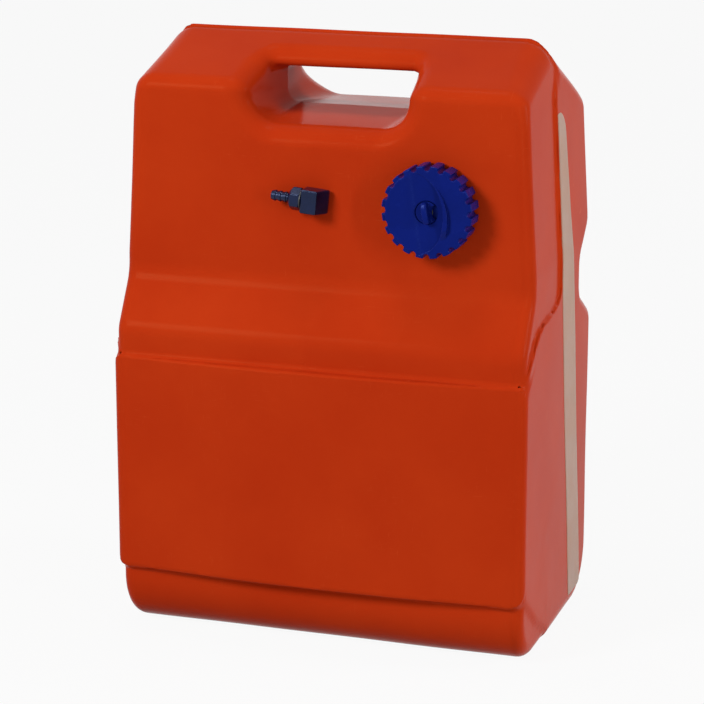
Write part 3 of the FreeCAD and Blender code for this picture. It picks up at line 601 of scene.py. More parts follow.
class Slot(Enum):
    """The record's material slots, each with its finish."""

    TANK = Finish("tank_red", (0.51, 0.038, 0.006), (0.47, 0.031, 0.005), (0.62, 0.10, 0.03),
                  gloss=(0.14, 0.20), pebble_scale=420.0, wave_scale=16.0, pebble=0.10,
                  bump=0.0005, wear=0.35, specular=0.015, specular_tint=(1.0, 0.45, 0.16),
                  subsurface=0.03, subsurface_reach=0.003)
    STRIP = Finish("strip_clear", (0.42, 0.235, 0.165), (0.38, 0.21, 0.145), (0.56, 0.40, 0.32),
                   gloss=(0.28, 0.40), pebble_scale=500.0, wave_scale=30.0, bump=0.0004, wear=0.2,
                   specular=0.15, subsurface=0.3, subsurface_reach=0.006)
    CAP = Finish("cap_blue", (0.004, 0.012, 0.165), (0.0035, 0.010, 0.135), (0.03, 0.06, 0.30),
                 gloss=(0.22, 0.30), pebble_scale=1400.0, wave_scale=60.0, pebble=0.12,
                 bump=0.00012, wear=0.5, break_scale=700.0, scuff_scale=260.0, specular=0.12,
                 specular_tint=(0.22, 0.34, 1.0))
    KNOB = replace(CAP, name="knob_blue", pebble_scale=1600.0, wave_scale=90.0, bump=0.0001,
                   break_scale=900.0, scuff_scale=400.0)
    RUBBER = Finish("seal_rubber", (0.020, 0.020, 0.021), (0.012, 0.012, 0.013),
                    (0.05, 0.05, 0.05), gloss=(0.5, 0.65), pebble_scale=2500.0, bump=0.0001)
    OUTLET = Finish("outlet_navy", (0.0035, 0.006, 0.030), (0.002, 0.0035, 0.018),
                    (0.02, 0.03, 0.09), gloss=(0.16, 0.26), pebble_scale=2000.0,
                    wave_scale=140.0, pebble=0.1, bump=0.00008, wear=0.4, break_scale=1200.0,
                    scuff_scale=500.0, specular_tint=(0.45, 0.58, 1.0))
    BLACK = Finish("inner_black", (0.016, 0.016, 0.017), (0.010, 0.010, 0.011),
                   (0.05, 0.05, 0.05), gloss=(0.35, 0.5), pebble_scale=1500.0, bump=0.0001)
    WASHER = Finish("washer_white", (0.62, 0.61, 0.57), (0.52, 0.51, 0.47), (0.7, 0.69, 0.66),
                    gloss=(0.4, 0.55), pebble_scale=2500.0, bump=0.00005)
    TUBE = Finish("tube_dark", (0.035, 0.036, 0.040), (0.025, 0.025, 0.028),
                  (0.08, 0.08, 0.08), gloss=(0.35, 0.5), pebble_scale=1200.0, bump=0.0001)
    STEEL = Finish("spring_steel", (0.56, 0.55, 0.53), (0.45, 0.44, 0.42), (0.7, 0.7, 0.7),
                   gloss=(0.22, 0.36), metallic=1.0, pebble_scale=3000.0, bump=0.00002)
    MESH = Finish("mesh_steel", (0.48, 0.47, 0.45), (0.34, 0.33, 0.32), (0.6, 0.6, 0.6),
                  gloss=(0.35, 0.5), metallic=1.0, pebble_scale=4500.0, bump=0.0002, pebble=1.0)


DRESSED_NODES = {
    Slot.RUBBER: ("cap_gasket", "vent_seal", "stem_o_rings"),
    Slot.BLACK: ("splash_disc", "barb_washer", "outlet_bush", "strainer_cage"),
    Slot.STEEL: ("vent_clip", "swivel_ring", "tube_clamp"),
    Slot.WASHER: ("swivel_washer",),
    Slot.TUBE: ("pickup_tube",),
    Slot.MESH: ("strainer_mesh",)}


class Workshop:
    """Makes the meshes' objects, dresses them and fixes them to their bodies."""

    def __init__(self) -> None:
        """No finish is made yet."""
        self.finishes: dict[Slot, bpy.types.Material] = {}

    def finish(self, slot: Slot) -> bpy.types.Material:
        """The material of a slot, made once."""
        if slot not in self.finishes:
            self.finishes[slot] = slot.value.material()
        return self.finishes[slot]

    def piece(self, name: str, skin: Skin, slot: Slot, body: str,
              stands_for: Sequence[str]) -> None:
        """An object from a surface, dressed, riding on its body and standing for CAD nodes."""
        mesh = bpy.data.meshes.new(name)
        corners = skin.faces.shape[1]
        mesh.vertices.add(len(skin.points))
        mesh.vertices.foreach_set("co", (skin.points * MM).astype(np.float32).ravel())
        mesh.loops.add(skin.faces.size)
        mesh.loops.foreach_set("vertex_index", skin.faces.astype(np.int32).ravel())
        mesh.polygons.add(len(skin.faces))
        mesh.polygons.foreach_set("loop_start", np.arange(len(skin.faces), dtype=np.int32) * corners)
        mesh.polygons.foreach_set("use_smooth", np.ones(len(skin.faces), bool))
        mesh.update(calc_edges=True)
        mesh.validate()
        if skin.normals is not None:
            mesh.normals_split_custom_set_from_vertices(skin.normals)
        edge = edge_from_mesh(mesh) if skin.edge is None else skin.edge
        mesh.attributes.new(EDGE_ATTRIBUTE, "FLOAT", "POINT").data.foreach_set(
            "value", edge.astype(np.float32))
        made = bpy.data.objects.new(name, mesh)
        bpy.context.scene.collection.objects.link(made)
        mesh.materials.append(self.finish(slot))
        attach(made, body)
        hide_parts(*stands_for)
        LOG.info("%s: %d points, %d faces", name, len(skin.points), len(skin.faces))

    def dress(self, node: str, slot: Slot) -> None:
        """Gives a CAD node its finish."""
        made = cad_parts[node]
        made.data.materials.clear()
        made.data.materials.append(self.finish(slot))
        LOG.info("%s: dressed as %s", node, slot.value.name)


# ---------------------------------------------------------------------- tank shell
@dataclass
class TankShell:
    """The blow-moulded can: set-in front block, full-width body, bulging panel and grip."""

    width: float = 350.0
    wall: float = 4.0
    can_wall: float = 6.0
    set_in: float = 2.3
    roof_set_in: float = 1.0
    upper_face: float = -85.6
    foot_face: float = -108.6
    panel_face: float = -114.0
    bulge: float = 8.0
    back_upper: float = 101.5
    back_lower: float = 110.5
    groove: float = 71.0
    floor_front: float = -28.0
    panel_bottom: float = 57.0
    panel_top: float = 239.0
    slope_foot: float = 262.0
    slope_head: float = 304.0
    ledge_head: float = 288.0
    shoulder: float = 465.0
    pitch_front: float = 21.0
    pitch_back: float = 31.0
    ledge_shares: tuple = ((0.2, 0.86), (0.6, 0.76), (0.9, 0.3))
    seam_top: float = 560.0
    seam_blend: tuple[float, float] = (3.0, 16.0)
    knee_height: float = 317.5
    brow_height: float = 441.0
    brow_lean: float = 7.0
    crown_lean: float = 12.5
    inner_depth: float = -60.0
    lips: tuple[float, float, float, float] = (255.0, 278.0, 305.0, 329.0)
    ridge_radius: float = 18.0
    panel_edge: float = 10.0
    front_edge: float = 11.0
    back_edge: float = 13.0
    crease: float = 1.1
    crown_edge: float = 21.0
    crown: tuple[float, float] = (440.0, 486.0)
    grip_half: float = 60.5
    grip_flare: float = 7.0
    grip_floor: float = 436.0
    grip_fall: float = 7.0
    grip_corner: float = 12.0
    grip_mouth: float = 27.0
    mouth_edge: float = 16.0
    bar_edge: float = 11.0
    bar_blend: float = 6.0
    bar_ends: tuple[float, float] = (-34.0, 28.0)
    bar_under: tuple[float, float] = (471.0, 466.5)
    bar_corner: float = 6.5
    bar_zone: tuple[float, float] = (34.0, 52.0)
    neck: tuple[float, float] = FILLER_AXIS
    neck_radii: tuple[float, float] = (24.0, 28.0)
    neck_length: float = 16.6
    thread_lead: float = 6.4
    thread_height: float = 1.5
    reach: float = 30.0

    def __post_init__(self) -> None:
        """Draws the outlines that the fields need."""
        low, floor_low, floor_high, high = self.lips
        rise = self.ledge_head - self.panel_top
        head, brim, _ = self.ledge_line()
        self.core_side = Outline([
            (self.reach, 0, 1), (self.reach, self.roof(self.reach) - self.roof_set_in, 1),
            (0, self.roof(0) - self.roof_set_in, self.ridge_radius),
            (self.upper_face, self.roof(self.upper_face) - self.roof_set_in, 14.0),
            (self.upper_face, self.slope_head, 30.0),
            (self.panel_face + self.set_in, self.slope_foot, 25.0),
            (self.panel_face + self.set_in, self.panel_top - self.reach, 46.0),
            (self.foot_face, self.panel_bottom + self.reach, 46.0), (self.foot_face, 0, 46.0)])
        self.body_side = Outline([
            (self.floor_front, 0, 2), (self.back_lower, 0, 48.0), (self.back_lower, low, 18.0),
            (self.groove, floor_low, 10.0), (self.groove, floor_high, 10.0),
            (self.back_upper, high, 18.0), (self.back_upper, self.roof(self.back_upper), 16.0),
            (0, self.roof(0), 1.0), (0, self.ledge_head, rise * 0.3),
            (*head, rise * 0.6), (*brim, rise),
            (self.panel_face, self.panel_top, 1.0), (self.panel_face, self.panel_bottom, 1.0),
            (0.6 * self.panel_face, 0.4 * self.panel_bottom, self.panel_bottom)])
        self.panel_side = Outline([
            (self.panel_face, self.panel_bottom, 2.2), (self.inner_depth, self.panel_bottom, 1.0),
            (self.inner_depth, self.panel_top, 1.0), (self.panel_face, self.panel_top, 1.6)])
        self.core_front = self.front_outline(self.set_in)
        self.body_front = self.front_outline(0)
        (bar_front, bar_back), over = self.bar_ends, self.roof(0) + self.reach
        self.bar_side = Outline([
            (bar_front, self.bar_under[0], self.bar_corner),
            (bar_back, self.bar_under[1], self.bar_corner), (bar_back, over, 1.0),
            (bar_front, over, 1.0)])
        self.strip = SightStrip(self)

    def roof(self, depth: float) -> float:
        """Height of the two roof planes at a depth."""
        ridge = self.shoulder - self.upper_face * math.tan(math.radians(self.pitch_front))
        pitch = self.pitch_front if depth < 0 else self.pitch_back
        return ridge - abs(depth) * math.tan(math.radians(pitch))

    def front_outline(self, narrowing: float) -> Outline:
        """Front view: upright sides that lean in above the knee and more above the brow."""
        half = self.width / 2 - narrowing
        brow, crown = half - self.brow_lean, half - self.crown_lean
        lean = (brow - crown) / (self.roof(0) - self.brow_height)
        right = [(half, -self.reach, 1), (half, self.knee_height, 150.0),
                 (brow, self.brow_height, 60.0),
                 (crown - lean * self.reach, self.roof(0) + self.reach, 1)]
        return Outline(right + [(-a, b, r) for a, b, r in reversed(right)])

    def ledge_line(self) -> list[tuple[float, float]]:
        """Points down the ledge in the side view, from shares of its depth and of its rise."""
        rise = self.ledge_head - self.panel_top
        return [(depth * self.panel_face, self.panel_top + height * rise)
                for depth, height in self.ledge_shares]

    def seam_distance(self, y: Array, z: Array) -> Array:
        """Distance in the side view to the line where the front block stands in from the body."""
        line = [(0, self.seam_top), (0, self.ledge_head), *self.ledge_line()]
        found = np.inf
        for start, end in zip(line[:-1], line[1:]):
            gap = np.abs(run_distance(y, z, np.array(start, float), np.array(end, float)))
            found = np.minimum(found, gap)
        return found

    def crowned(self, radius: Array, z: Array) -> Array:
        """An edge's radius, growing to the crown's towards the ridge."""
        return radius + (self.crown_edge - radius) * smooth_step(*self.crown, z)

    def body(self, x: Array, y: Array, z: Array) -> Array:
        """The full-width body: side view meeting front view, its edge sharp at the seam."""
        flat_y, flat_z = np.broadcast_arrays(y, z)
        seam = self.seam_distance(flat_y, flat_z)
        away = smooth_step(*self.seam_blend, seam)
        radius = self.crease + (self.back_edge - self.crease) * away
        return round_max(self.body_side.distance(y, z), self.body_front.distance(x, z),
                         self.crowned(radius, z))

    def panel(self, x: Array, y: Array, z: Array) -> Array:
        """The front panel: its face is drawn forward in the middle as an upright drum."""
        half = self.width / 2 - self.panel_edge
        forward = self.bulge * np.clip(1 - (x / half) ** 2, 0, 1)
        side = self.panel_side.distance(y + forward, z)
        return round_max(side, self.body_front.distance(x, z), self.panel_edge)

    def core(self, x: Array, y: Array, z: Array) -> Array:
        """The set-in front block."""
        return round_max(self.core_side.distance(y, z), self.core_front.distance(x, z),
                         self.crowned(self.front_edge, z))

    def grip(self, x: Array, y: Array, z: Array) -> Array:
        """The grip's gap: a rounded slot that widens and falls towards both faces."""
        share = np.where(y < 0, y / self.upper_face, y / self.back_upper)
        radius = self.grip_corner + (self.grip_mouth - self.grip_corner) * share
        across = np.abs(x) - (self.grip_half + self.grip_flare * share - radius)
        down = (self.grip_floor - self.grip_fall * share + radius) - z
        corner = np.hypot(np.maximum(across, 0), np.maximum(down, 0))
        return corner + np.minimum(np.maximum(across, down), 0) - radius

    def waves(self, x: Array, y: Array, z: Array) -> Array:
        """Slow unevenness of a blown skin: three crossing waves of a fifth of a millimetre."""
        return (0.10 * np.sin(x / 19.0 + 1.3 * np.sin(z / 37.0))
                + 0.10 * np.sin(z / 23.0 + 1.1 * np.sin(x / 43.0) + y / 31.0)
                + 0.06 * np.sin(y / 17.0 + x / 29.0))

    def outer(self, x: Array, y: Array, z: Array) -> Array:
        """The can's outside, without holes."""
        can = round_min(self.core(x, y, z),
                        np.minimum(self.body(x, y, z), self.panel(x, y, z)), self.crease)
        kept = round_min(-self.grip(x, y, z), self.bar_side.distance(y, z), self.bar_blend)
        mouth = smooth_step(*self.bar_zone, np.abs(y))
        edge = self.bar_edge + (self.mouth_edge - self.bar_edge) * mouth
        return round_max(can, kept, edge) + self.waves(x, y, z)

    def hollow(self, x: Array, y: Array, z: Array) -> Array:
        """The can with its inside and the neck's hole."""
        outside = self.outer(x, y, z)
        wall = np.maximum(outside, -(outside + self.can_wall))
        across = np.hypot(x - self.neck[0], z - self.neck[1]) - sum(self.neck_radii) / 2
        return np.maximum(wall, -np.maximum(across, y - self.inner_depth))

    def lattice(self) -> Lattice:
        """Stations closer together where the shape turns."""
        across = [(0, 6.0), (38, 5.2), (44, 3.1), (82, 3.1), (90, 5.2), (132, 5.2), (142, 3.0),
                  (181, 3.0)]
        mirrored = [(-place, step) for place, step in reversed(across[1:])] + across
        deep = [(-128, 3.0), (-104, 3.0), (-96, 3.1), (-72, 3.1), (-64, 4.4), (-50, 4.4), (-42, 2.9),
                (-26, 2.9), (-8, 4.0), (-3, 1.8), (3, 1.8), (8, 3.4), (20, 3.1), (34, 3.1),
                (44, 4.8), (60, 4.8), (68, 3.7), (114, 3.3)]
        high = [(-4, 3.1), (18, 3.6), (50, 3.8), (55, 2.3), (62, 2.6), (70, 6.0), (225, 6.0),
                (236, 2.3), (262, 2.9), (330, 3.6), (345, 5.2), (402, 5.2), (412, 3.2), (502, 3.0)]
        return Lattice((graded(mirrored), graded(deep), graded(high)))

    def neck_skin(self) -> Skin:
        """The neck: a tube with a rounded end and a right-handed thread of one and a half turns.

        The radius is the plain tube's plus a rounded ridge that moves along the axis by its
        lead at each turn.
        """
        inner, outer = self.neck_radii
        front = self.upper_face - self.neck_length
        profile = rounded_profile([
            (inner, self.upper_face + self.wall, 0.8), (inner, front, 1.4), (outer, front, 1.2),
            (outer, self.upper_face - 1.5, 1.5), (outer + 2.5, self.upper_face + 0.8, 0.5),
            (outer + 2.5, self.upper_face + self.wall, 0.5)], 15.0, True, 0.5)

        outer_rows = (profile[:, :1] > outer - 0.05)

        def thread(angle: Array, depth: Array) -> Array:
            """Height of the ridge over the tube's outside, from its distance along the axis."""
            lead, start = self.thread_lead, front + 3.4
            away = (depth - start + lead * angle / TURN + lead / 2) % lead - lead / 2
            ends = smooth_step(start - 2.4, start - 0.4, depth) * smooth_step(
                self.upper_face - 2.0, self.upper_face - 4.0, depth)
            return self.thread_height * smooth_step(1.5, 0.6, np.abs(away)) * ends * outer_rows

        return turned(profile, *self.neck, 240, thread)

    def build(self, shop: Workshop) -> None:
        """Makes the can, its neck and its strip."""
        shop.piece("tank_can", self.lattice().skin(self.hollow), Slot.TANK, "tank", ["tank_shell"])
        shop.piece("filler_neck", self.neck_skin(), Slot.TANK, "tank", ["tank_shell"])
        self.strip.build(shop)


class SightStrip:
    """Clear band let into the right-hand wall."""

    bottom: float = 14.0
    top: float = 437.5
    proud: float = 0.35
    thickness: float = 4.2
    edge: float = 0.6

    def __init__(self, shell: TankShell) -> None:
        """Draws the band's outline in the side view."""
        self.shell = shell
        self.outline = Outline([
            (44.5, self.bottom, 1.0), (84.0, self.bottom, 1.0), (33.0, 350.0, 200.0),
            (24.0, self.top, 20.0), (0.8, self.top, 1.5), (0.8, 290.0, 200.0)])

    def edges(self, height: Array) -> tuple[Array, Array]:
        """The band's front and back edge at each height, by halving the search span."""
        middle = np.interp(height, [self.bottom, self.top], [64.0, 10.0])
        found = []
        for way in (-1, 1):
            near, far = middle.copy(), middle + way * 60.0
            for _ in range(26):
                half = (near + far) / 2
                inside = self.outline.distance(half, height) < 0
                near, far = np.where(inside, half, near), np.where(inside, far, half)
            found.append(near)
        return found[0], found[1]

    def surface_x(self, y: Array, z: Array) -> Array:
        """Where the can's side is, by Newton steps along X."""
        x = np.full(y.shape, self.shell.width / 2 - 5)
        for _ in range(6):
            here = self.shell.outer(x, y, z)
            slope = (self.shell.outer(x + 0.2, y, z) - here) / 0.2
            x = x - here / np.maximum(slope, 0.3)
        return x

    def skin(self) -> Skin:
        """A flat bar whose section, rounded at its outer edges, is carried up the wall."""
        lift = (1 - np.cos(np.linspace(0, math.pi, 240))) / 2
        height = self.bottom + 0.3 + (self.top - self.bottom - 0.6) * lift
        front, back = self.edges(height)
        width = (back - front)[:, None]
        share = np.linspace(0, 1, 13)[None, :]
        edge = np.minimum(self.edge, width / 3)
        bevel = np.array([0.0, 0.08, 0.3, 0.62, 1.0])[None, :]
        drop = 1 - np.sqrt(np.clip(1 - (1 - bevel) ** 2, 0, 1))
        inner = front[:, None] + edge + (width - 2 * edge) * share
        across = np.concatenate([front[:, None] + edge * bevel[:, :-1], inner,
                                 back[:, None] - edge * bevel[:, :-1][:, ::-1]], axis=1)
        sunk = np.concatenate([drop[:, :-1], np.zeros_like(share), drop[:, :-1][:, ::-1]], axis=1)
        high = np.repeat(height[:, None], across.shape[1], axis=1)
        outer_x = self.surface_x(across, high) + self.proud - self.edge * sunk
        inner_x = outer_x[:, ::-1] - self.thickness + self.edge * sunk[:, ::-1]
        section = np.concatenate([
            np.stack([outer_x, across, high], axis=-1),
            np.stack([inner_x, across[:, ::-1], high], axis=-1)], axis=1)
        return grid_skin(section[:, ::-1], close_ends=True)

    def build(self, shop: Workshop) -> None:
        """Makes the band."""
        shop.piece("sight_band", self.skin(), Slot.STRIP, "tank", ["sight_strip"])


# ---------------------------------------------------------------------- filler cap
@dataclass
class FillerCap:
    """Notched screw cap with its dished pad, finger rib and vent screw."""

    x: float = FILLER_AXIS[0]
    z: float = FILLER_AXIS[1]
    back: float = -87.2
    depth: float = 21.5
    radius: float = 36.8
    plate: float = 3.6
    bore: float = 30.6
    notches: int = 20
    notch_half: float = 2.45
    notch_depth: float = 3.8
    pad_half_width: float = 25.5
    pad_half_height: float = 33.0
    pad_shift: tuple[float, float] = (-11.5, -1.5)
    pad_tilt: float = -8.0
    pad_sink: float = 2.2
    pad_lift: float = 2.3
    pad_rim: float = 3.4
    rib_rise: float = 3.6
    rib_shift: tuple[float, float] = (3.5, -3.0)
    rib_foot: float = -22.5
    well: float = 9.2
    well_depth: float = 4.2
    hub: float = 13.5
    hub_depth: float = 9.5
    disc: float = 8.85
    disc_thickness: float = 3.2
    scoop: tuple[float, float, float] = (8.6, 7.0, 6.4)
    fin: tuple[float, float, float] = (5.0, 17.2, 7.4)
    fin_lean: float = -10.0
    stem: float = 3.0

    @property
    def front(self) -> float:
        """Depth of the cap's face."""
        return self.back - self.depth

    def pad_place(self, x: Array, z: Array) -> tuple[Array, Array]:
        """The point in the leaning pad's own directions."""
        return leaning(x - self.x - self.pad_shift[0], z - self.z - self.pad_shift[1],
                       self.pad_tilt)

    def field(self, x: Array, y: Array, z: Array) -> Array:
        """The cap as a field: a turned section, less notches, pad and well, plus the rib."""
        out = np.hypot(x - self.x, z - self.z)
        inside = self.front + self.plate
        section = Outline([
            (-60, self.front, 1), (self.radius, self.front, 1.3), (self.radius, self.back, 1.0),
            (self.bore, self.back, 0.6), (self.bore, inside, 1.0), (self.hub, inside, 0.8),
            (self.hub, inside + self.hub_depth, 1.0), (-60, inside + self.hub_depth, 1)])
        cap = section.distance(out, y)
        angle = np.arctan2(z - self.z, x - self.x)
        pitch = TURN / self.notches
        fold = (angle + pitch / 2) % pitch - pitch / 2
        floor = self.radius - self.notch_depth + self.notch_half
        notch = np.hypot(out * np.sin(fold), np.minimum(out * np.cos(fold) - floor, 0)) - self.notch_half
        across, up = self.pad_place(x, z)
        oval = oval_distance(across, up, self.pad_half_width, self.pad_half_height)
        share = np.clip(0.5 * (1 + across / self.pad_half_width), 0, 1)
        pad_y = self.front - self.pad_lift + (self.pad_lift + self.pad_sink) * share
        drum = round_max(oval, out - self.radius + self.pad_rim, 0.8)
        raised = round_max(drum, np.maximum(pad_y - y, y - inside), 0.7)
        cap = round_max(round_min(cap, raised, 0.4), -notch, 1.0)
        cap = round_max(cap, -np.maximum(oval, y - pad_y), 0.4)
        beyond = oval_distance(across - self.rib_shift[0], up - self.rib_shift[1],
                               self.pad_half_width, self.pad_half_height)
        crescent = round_max(np.maximum(beyond, -oval), self.rib_foot - up, 1.8)
        crest = self.front - self.rib_rise * smooth_step(25.0, -6.0, up) ** 0.6 * smooth_step(
            self.rib_foot - 1.0, self.rib_foot + 9.0, up)
        rib = round_max(crescent, np.maximum(crest - y, y - inside), 0.9)
        cap = round_min(cap, rib, 0.5)
        well = np.maximum(out - self.well, y - self.front - self.well_depth)
        cap = round_max(cap, -well, 0.6)
        return np.maximum(cap, -(out - self.stem - 0.1))

    def lattice(self, step: float = 0.62) -> Lattice:
        """An even lattice round the cap, finer along the axis at its face."""
        half = self.radius + 2
        deep = [(self.front - self.rib_rise - 1.5, 0.5), (self.front + 3, 0.5),
                (self.front + 6, 1.3), (self.back + 2, 1.0)]
        return box_lattice(self.x, self.z, half, step, deep, 0.1, 0.12)

    def knob_field(self, x: Array, y: Array, z: Array) -> Array:
        """The vent screw as a field: disc and stem, with a fin whose crown is round."""
        out = np.hypot(x - self.x, z - self.z)
        disc_back = self.front + self.well_depth - 0.3
        disc_front = disc_back - self.disc_thickness
        disc = round_max(out - self.disc, np.abs(y - (disc_front + disc_back) / 2)
                         - self.disc_thickness / 2, 0.5)
        offset, ball, ahead = self.scoop
        scoop = np.sqrt((x - self.x - offset) ** 2 + (z - self.z) ** 2
                        + (y - disc_front + ahead - 4.4) ** 2) - ball
        disc = round_max(disc, -scoop, 0.5)
        thickness, height, rise = self.fin
        aside, along = leaning(x - self.x, z - self.z, self.fin_lean)
        plan = round_max(np.abs(aside) - thickness / 2, np.abs(along) - height / 2, 1.9)
        crown = np.hypot(y - disc_front + rise - height, along) - height
        fin = round_max(plan, np.maximum(crown, y - disc_back), 1.3)
        stem = np.maximum(out - self.stem, np.maximum(disc_front - y, y - self.front - 20.0))
        return np.minimum(round_min(disc, fin, 0.9), stem)

    def knob_lattice(self, step: float = 0.36) -> Lattice:
        """An even lattice round the vent screw."""
        half = self.disc + 1
        deep = [(self.front - 8.5, step), (self.front + 5, step), (self.front + 22, 1.0)]
        return box_lattice(self.x, self.z, half, step, deep, 0.08, 0.1)

    def build(self, shop: Workshop) -> None:
        """Makes the cap and its vent screw."""
        shop.piece("cap_shell", self.lattice().skin(self.field), Slot.CAP, "cap", ["cap_body"])
        shop.piece("vent_screw", self.knob_lattice().skin(self.knob_field), Slot.KNOB, "vent",
                   ["vent_knob"])


# --------------------------------------------------------------------- hose outlet
@dataclass
class HoseOutlet:
    """Mitred elbow block on its swivel stem, with the hose tail."""

    x: float = -4.8
    z: float = 373.6
    tilt: float = 5.5
    width: float = 19.6
    height: float = 19.2
    front: float = -103.0
    back: float = -88.0
    mitre: tuple[float, float] = (6.5, 12.0)
    edge: float = 1.8
    stem: float = 5.0
    stem_length: float = 23.0
    root: float = 3.6
    crest: float = 4.4
    barb_length: float = 14.4
    hex_across: float = 16.6
    hex_length: float = 7.0
    cone: float = 3.4
    washer: float = 1.0

    def field(self, x: Array, y: Array, z: Array) -> Array:
        """The block as a field: its plan meeting its height, and the stem behind it."""
        half = self.width / 2
        plan = Outline([
            (self.x - half, self.front, 1.6), (self.x + half - self.mitre[0], self.front, 1.4),
            (self.x + half, self.front + self.mitre[1], 2.0), (self.x + half, self.back, 0.6),
            (self.x - half, self.back, 0.6)])
        block = round_max(plan.distance(x, y), np.abs(z - self.z) - self.height / 2, 1.3)
        out = np.hypot(x - self.x, z - self.z)
        stem = np.maximum(out - self.stem, np.maximum(self.front + 4 - y,
                                                      y - self.back - self.stem_length))
        return np.minimum(block, stem)

    def lattice(self, step: float = 0.45) -> Lattice:
        """An even lattice round the block."""
        half = self.width / 2 + 1
        deep = [(self.front - 1, step), (self.back + 1, step), (self.back + 26, 1.2)]
        return box_lattice(self.x, self.z, half, step, deep, 0.08, 0.1)

    def round_tail(self, out: Array, radius: Array, angle: Array) -> Skin:
        """Surface round the tail's axis, which lies along X, from distances out and radii."""
        middle = (self.front + self.back) / 2
        points = np.stack([self.x - self.width / 2 - out + 0 * radius,
                           middle + radius * np.cos(angle), self.z - radius * np.sin(angle)],
                          axis=-1)
        return grid_skin(points[:, ::-1])

    def barb_skin(self) -> Skin:
        """The hose tail: a profile of barbs carried round the tail's axis."""
        start = self.washer + 0.1
        end = start + self.hex_length
        cone_end = end + self.cone
        pitch = (self.barb_length - 0.8) / 3
        profile = [(-4.0, 0.0, 0), (-4.0, 4.6, 0), (cone_end - 1.0, 4.6, 0.6),
                   (cone_end + 0.4, self.root, 0.4)]
        for index in range(3):
            crest = cone_end + pitch * (index + 0.35)
            profile += [(crest, self.root, 0.15), (crest + 0.1, self.crest, 0.25),
                        (crest + 0.8, self.crest, 0.3),
                        (cone_end + pitch * (index + 1.15), self.root, 0.3)]
        tip = cone_end + self.barb_length
        profile += [(tip, self.root, 0.5), (tip, 2.2, 0.3), (tip - 12, 2.2, 0), (tip - 12, 0, 0)]
        line = rounded_profile(profile, 30.0)
        angle = np.linspace(0, TURN, 64, endpoint=False)[None, :]
        return self.round_tail(line[:, :1], line[:, 1:] + 0 * angle, angle)

    def hex_skin(self) -> Skin:
        """The hexagon with its cone: across each angle, the lesser of the flat's reach and the
        cone's radius, blended softly."""
        start = self.washer + 0.1
        end = start + self.hex_length
        angle = np.linspace(0, TURN, 192, endpoint=False)[None, :]
        out = np.concatenate([[start, start, start + 0.15, start + 0.4], np.linspace(
            start + 0.9, end - 1.2, 10), np.linspace(end - 1.0, end + self.cone, 26), [
                end + self.cone]])[:, None]
        fold = (angle + TURN / 12) % (TURN / 6) - TURN / 12
        flat = self.hex_across / 2 / np.cos(fold)
        flat = -round_soft(-flat, np.full_like(flat, -(self.hex_across / 2 + 1.1)), 0.25)
        cone = self.root + 1.5 + (self.hex_across / 2 + 1.0 - self.root - 1.5) * np.clip(
            (end + self.cone - out) / self.cone, 0, 3)
        back = self.hex_across / 2 + 0.2 + 3.0 * np.maximum(out - start, 0)
        radius = -round_soft(round_soft(-flat, -cone, 0.35), -back, 0.3)
        radius[0] = 0
        radius[-1] = 0
        return self.round_tail(out, radius, angle)

    def build(self, shop: Workshop) -> None:
        """Makes the block and the tail."""
        block = swung(self.lattice().skin(self.field), self.x, self.z, self.tilt)
        shop.piece("elbow_block", block, Slot.OUTLET, "outlet", ["outlet_block"])
        tail = swung(joined([self.barb_skin(), self.hex_skin()]), self.x, self.z, self.tilt)
        shop.piece("hose_tail", tail, Slot.OUTLET, "outlet", ["hose_barb"])


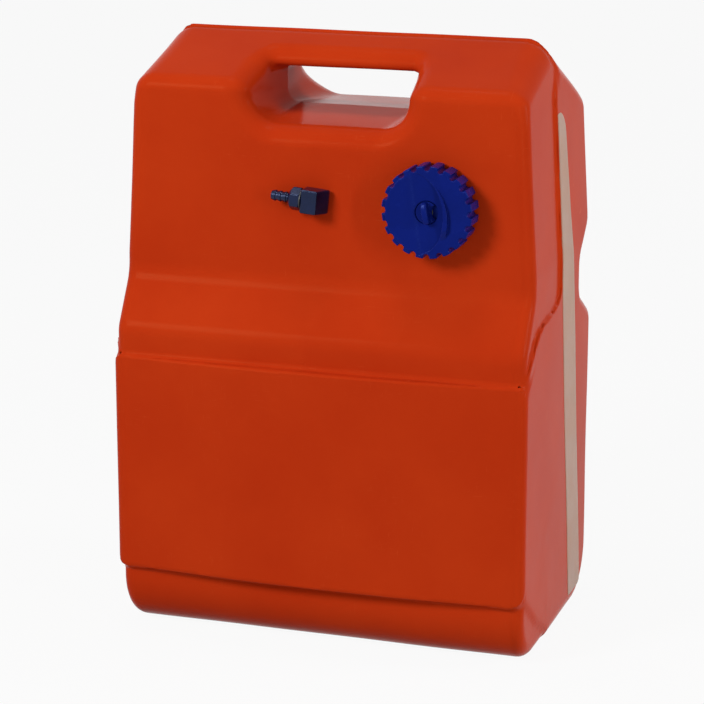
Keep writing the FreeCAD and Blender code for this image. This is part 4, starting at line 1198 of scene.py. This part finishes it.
# --------------------------------------------------------------------------- studio
@dataclass
class Studio:
    """Floor, lamps, world and camera."""

    camera_place: tuple[float, float, float] = (655.71, -1998.74, 782.55)
    camera_way: tuple[float, float, float] = (-0.30341504, 0.91797973, -0.25544576)
    lens: float = 132.44
    world_light: float = 0.20
    floor_half: float = 6.0
    floor_grey: float = 0.50
    floor_white: float = 0.93
    lamps: tuple = (
        ("key", (-1.1, -1.9, 1.5), (0, 0, 0.25), (0.7, 0.7), 40.0),
        ("right", (2.0, 0.35, 0.75), (0.15, 0, 0.28), (0.5, 0.8), 17.0),
        ("right_strip", (1.0, -0.75, 0.55), (0.15, -0.08, 0.3), (0.08, 0.7), 3.5),
        ("top", (-0.1, -0.1, 1.9), (0, 0, 0.4), (0.5, 0.5), 6.0))

    def camera(self) -> None:
        """The camera, looking along its given direction without roll."""
        data = bpy.data.cameras.new("view")
        data.lens = self.lens
        data.sensor_width = 36.0
        data.clip_end = 50.0
        made = bpy.data.objects.new("view", data)
        made.location = Vector(self.camera_place) * MM
        made.rotation_mode = "QUATERNION"
        made.rotation_quaternion = Vector(self.camera_way).to_track_quat("-Z", "Y")
        bpy.context.scene.collection.objects.link(made)
        bpy.context.scene.camera = made

    @staticmethod
    def shown(tree: bpy.types.NodeTree, path: object) -> bpy.types.NodeSocket:
        """One where the camera sees the place, straight, mirrored or through something clear."""
        seen = calc(tree, "MAXIMUM", path["Is Camera Ray"], path["Is Glossy Ray"])
        return calc(tree, "MAXIMUM", seen, path["Is Transmission Ray"])

    @staticmethod
    def shared(tree: bpy.types.NodeTree, share: object, dim: bpy.types.Node, white: bpy.types.Node,
               output: str) -> None:
        """Feeds an output with two shaders: the white one by its share, the dim one for the rest."""
        mix = new_node(tree, "ShaderNodeMixShader", {0: share, 1: dim.outputs[0],
                                                     2: white.outputs[0]})
        new_node(tree, output, {"Surface": mix.outputs[0]})

    def world(self) -> None:
        """A plain world: white where it is seen, and dimmer where it lights."""
        made = bpy.data.worlds.new("studio")
        made.use_nodes = True
        tree = made.node_tree
        tree.nodes.clear()
        path = new_node(tree, "ShaderNodeLightPath").outputs
        lit = new_node(tree, "ShaderNodeBackground", {"Color": (1, 1, 1, 1),
                                                      "Strength": self.world_light})
        white = new_node(tree, "ShaderNodeBackground", {"Color": (1, 1, 1, 1), "Strength": 1.0})
        self.shared(tree, self.shown(tree, path), lit, white, "ShaderNodeOutputWorld")
        bpy.context.scene.world = made

    def floor(self) -> None:
        """A pale floor that shows white and keeps a soft shadow."""
        half = self.floor_half
        mesh = bpy.data.meshes.new("floor")
        mesh.from_pydata([(-half, -half, 0), (half, -half, 0), (half, half, 0), (-half, half, 0)],
                         [], [(0, 1, 2, 3)])
        made = bpy.data.objects.new("floor", mesh)
        bpy.context.scene.collection.objects.link(made)
        finish = bpy.data.materials.new("floor")
        finish.use_nodes = True
        tree = finish.node_tree
        tree.nodes.clear()
        path = new_node(tree, "ShaderNodeLightPath").outputs
        plain = new_node(tree, "ShaderNodeBsdfDiffuse", {"Color": (*[self.floor_grey] * 3, 1)})
        white = new_node(tree, "ShaderNodeEmission", {"Color": (1, 1, 1, 1), "Strength": 1.0})
        share = calc(tree, "MULTIPLY", self.shown(tree, path), self.floor_white)
        self.shared(tree, share, plain, white, "ShaderNodeOutputMaterial")
        mesh.materials.append(finish)

    def lamp(self, name: str, place: tuple[float, float, float], aim: tuple[float, float, float],
             size: tuple[float, float], watts: float) -> None:
        """A soft rectangular lamp at a place in metres, facing its aim."""
        data = bpy.data.lights.new(name, "AREA")
        data.shape = "RECTANGLE"
        data.size, data.size_y = size
        data.energy = watts
        made = bpy.data.objects.new(name, data)
        made.location = place
        made.rotation_mode = "QUATERNION"
        made.rotation_quaternion = (Vector(aim) - Vector(place)).to_track_quat("-Z", "Y")
        bpy.context.scene.collection.objects.link(made)

    def build(self) -> None:
        """Sets the whole studio."""
        bpy.context.scene.view_settings.view_transform = "Standard"
        self.camera()
        self.world()
        self.floor()
        for lamp in self.lamps:
            self.lamp(*lamp)


def main() -> None:
    """Builds the sub-assemblies in order, then the studio, and notes the sizes."""
    logging.basicConfig(level=logging.INFO, format="%(name)s: %(message)s", force=True)
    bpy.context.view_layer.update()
    shop = Workshop()
    TankShell().build(shop)
    FillerCap().build(shop)
    HoseOutlet().build(shop)
    for slot, nodes in DRESSED_NODES.items():
        for node in nodes:
            shop.dress(node, slot)
    Studio().build()


if __name__ == "__main__":
    main()
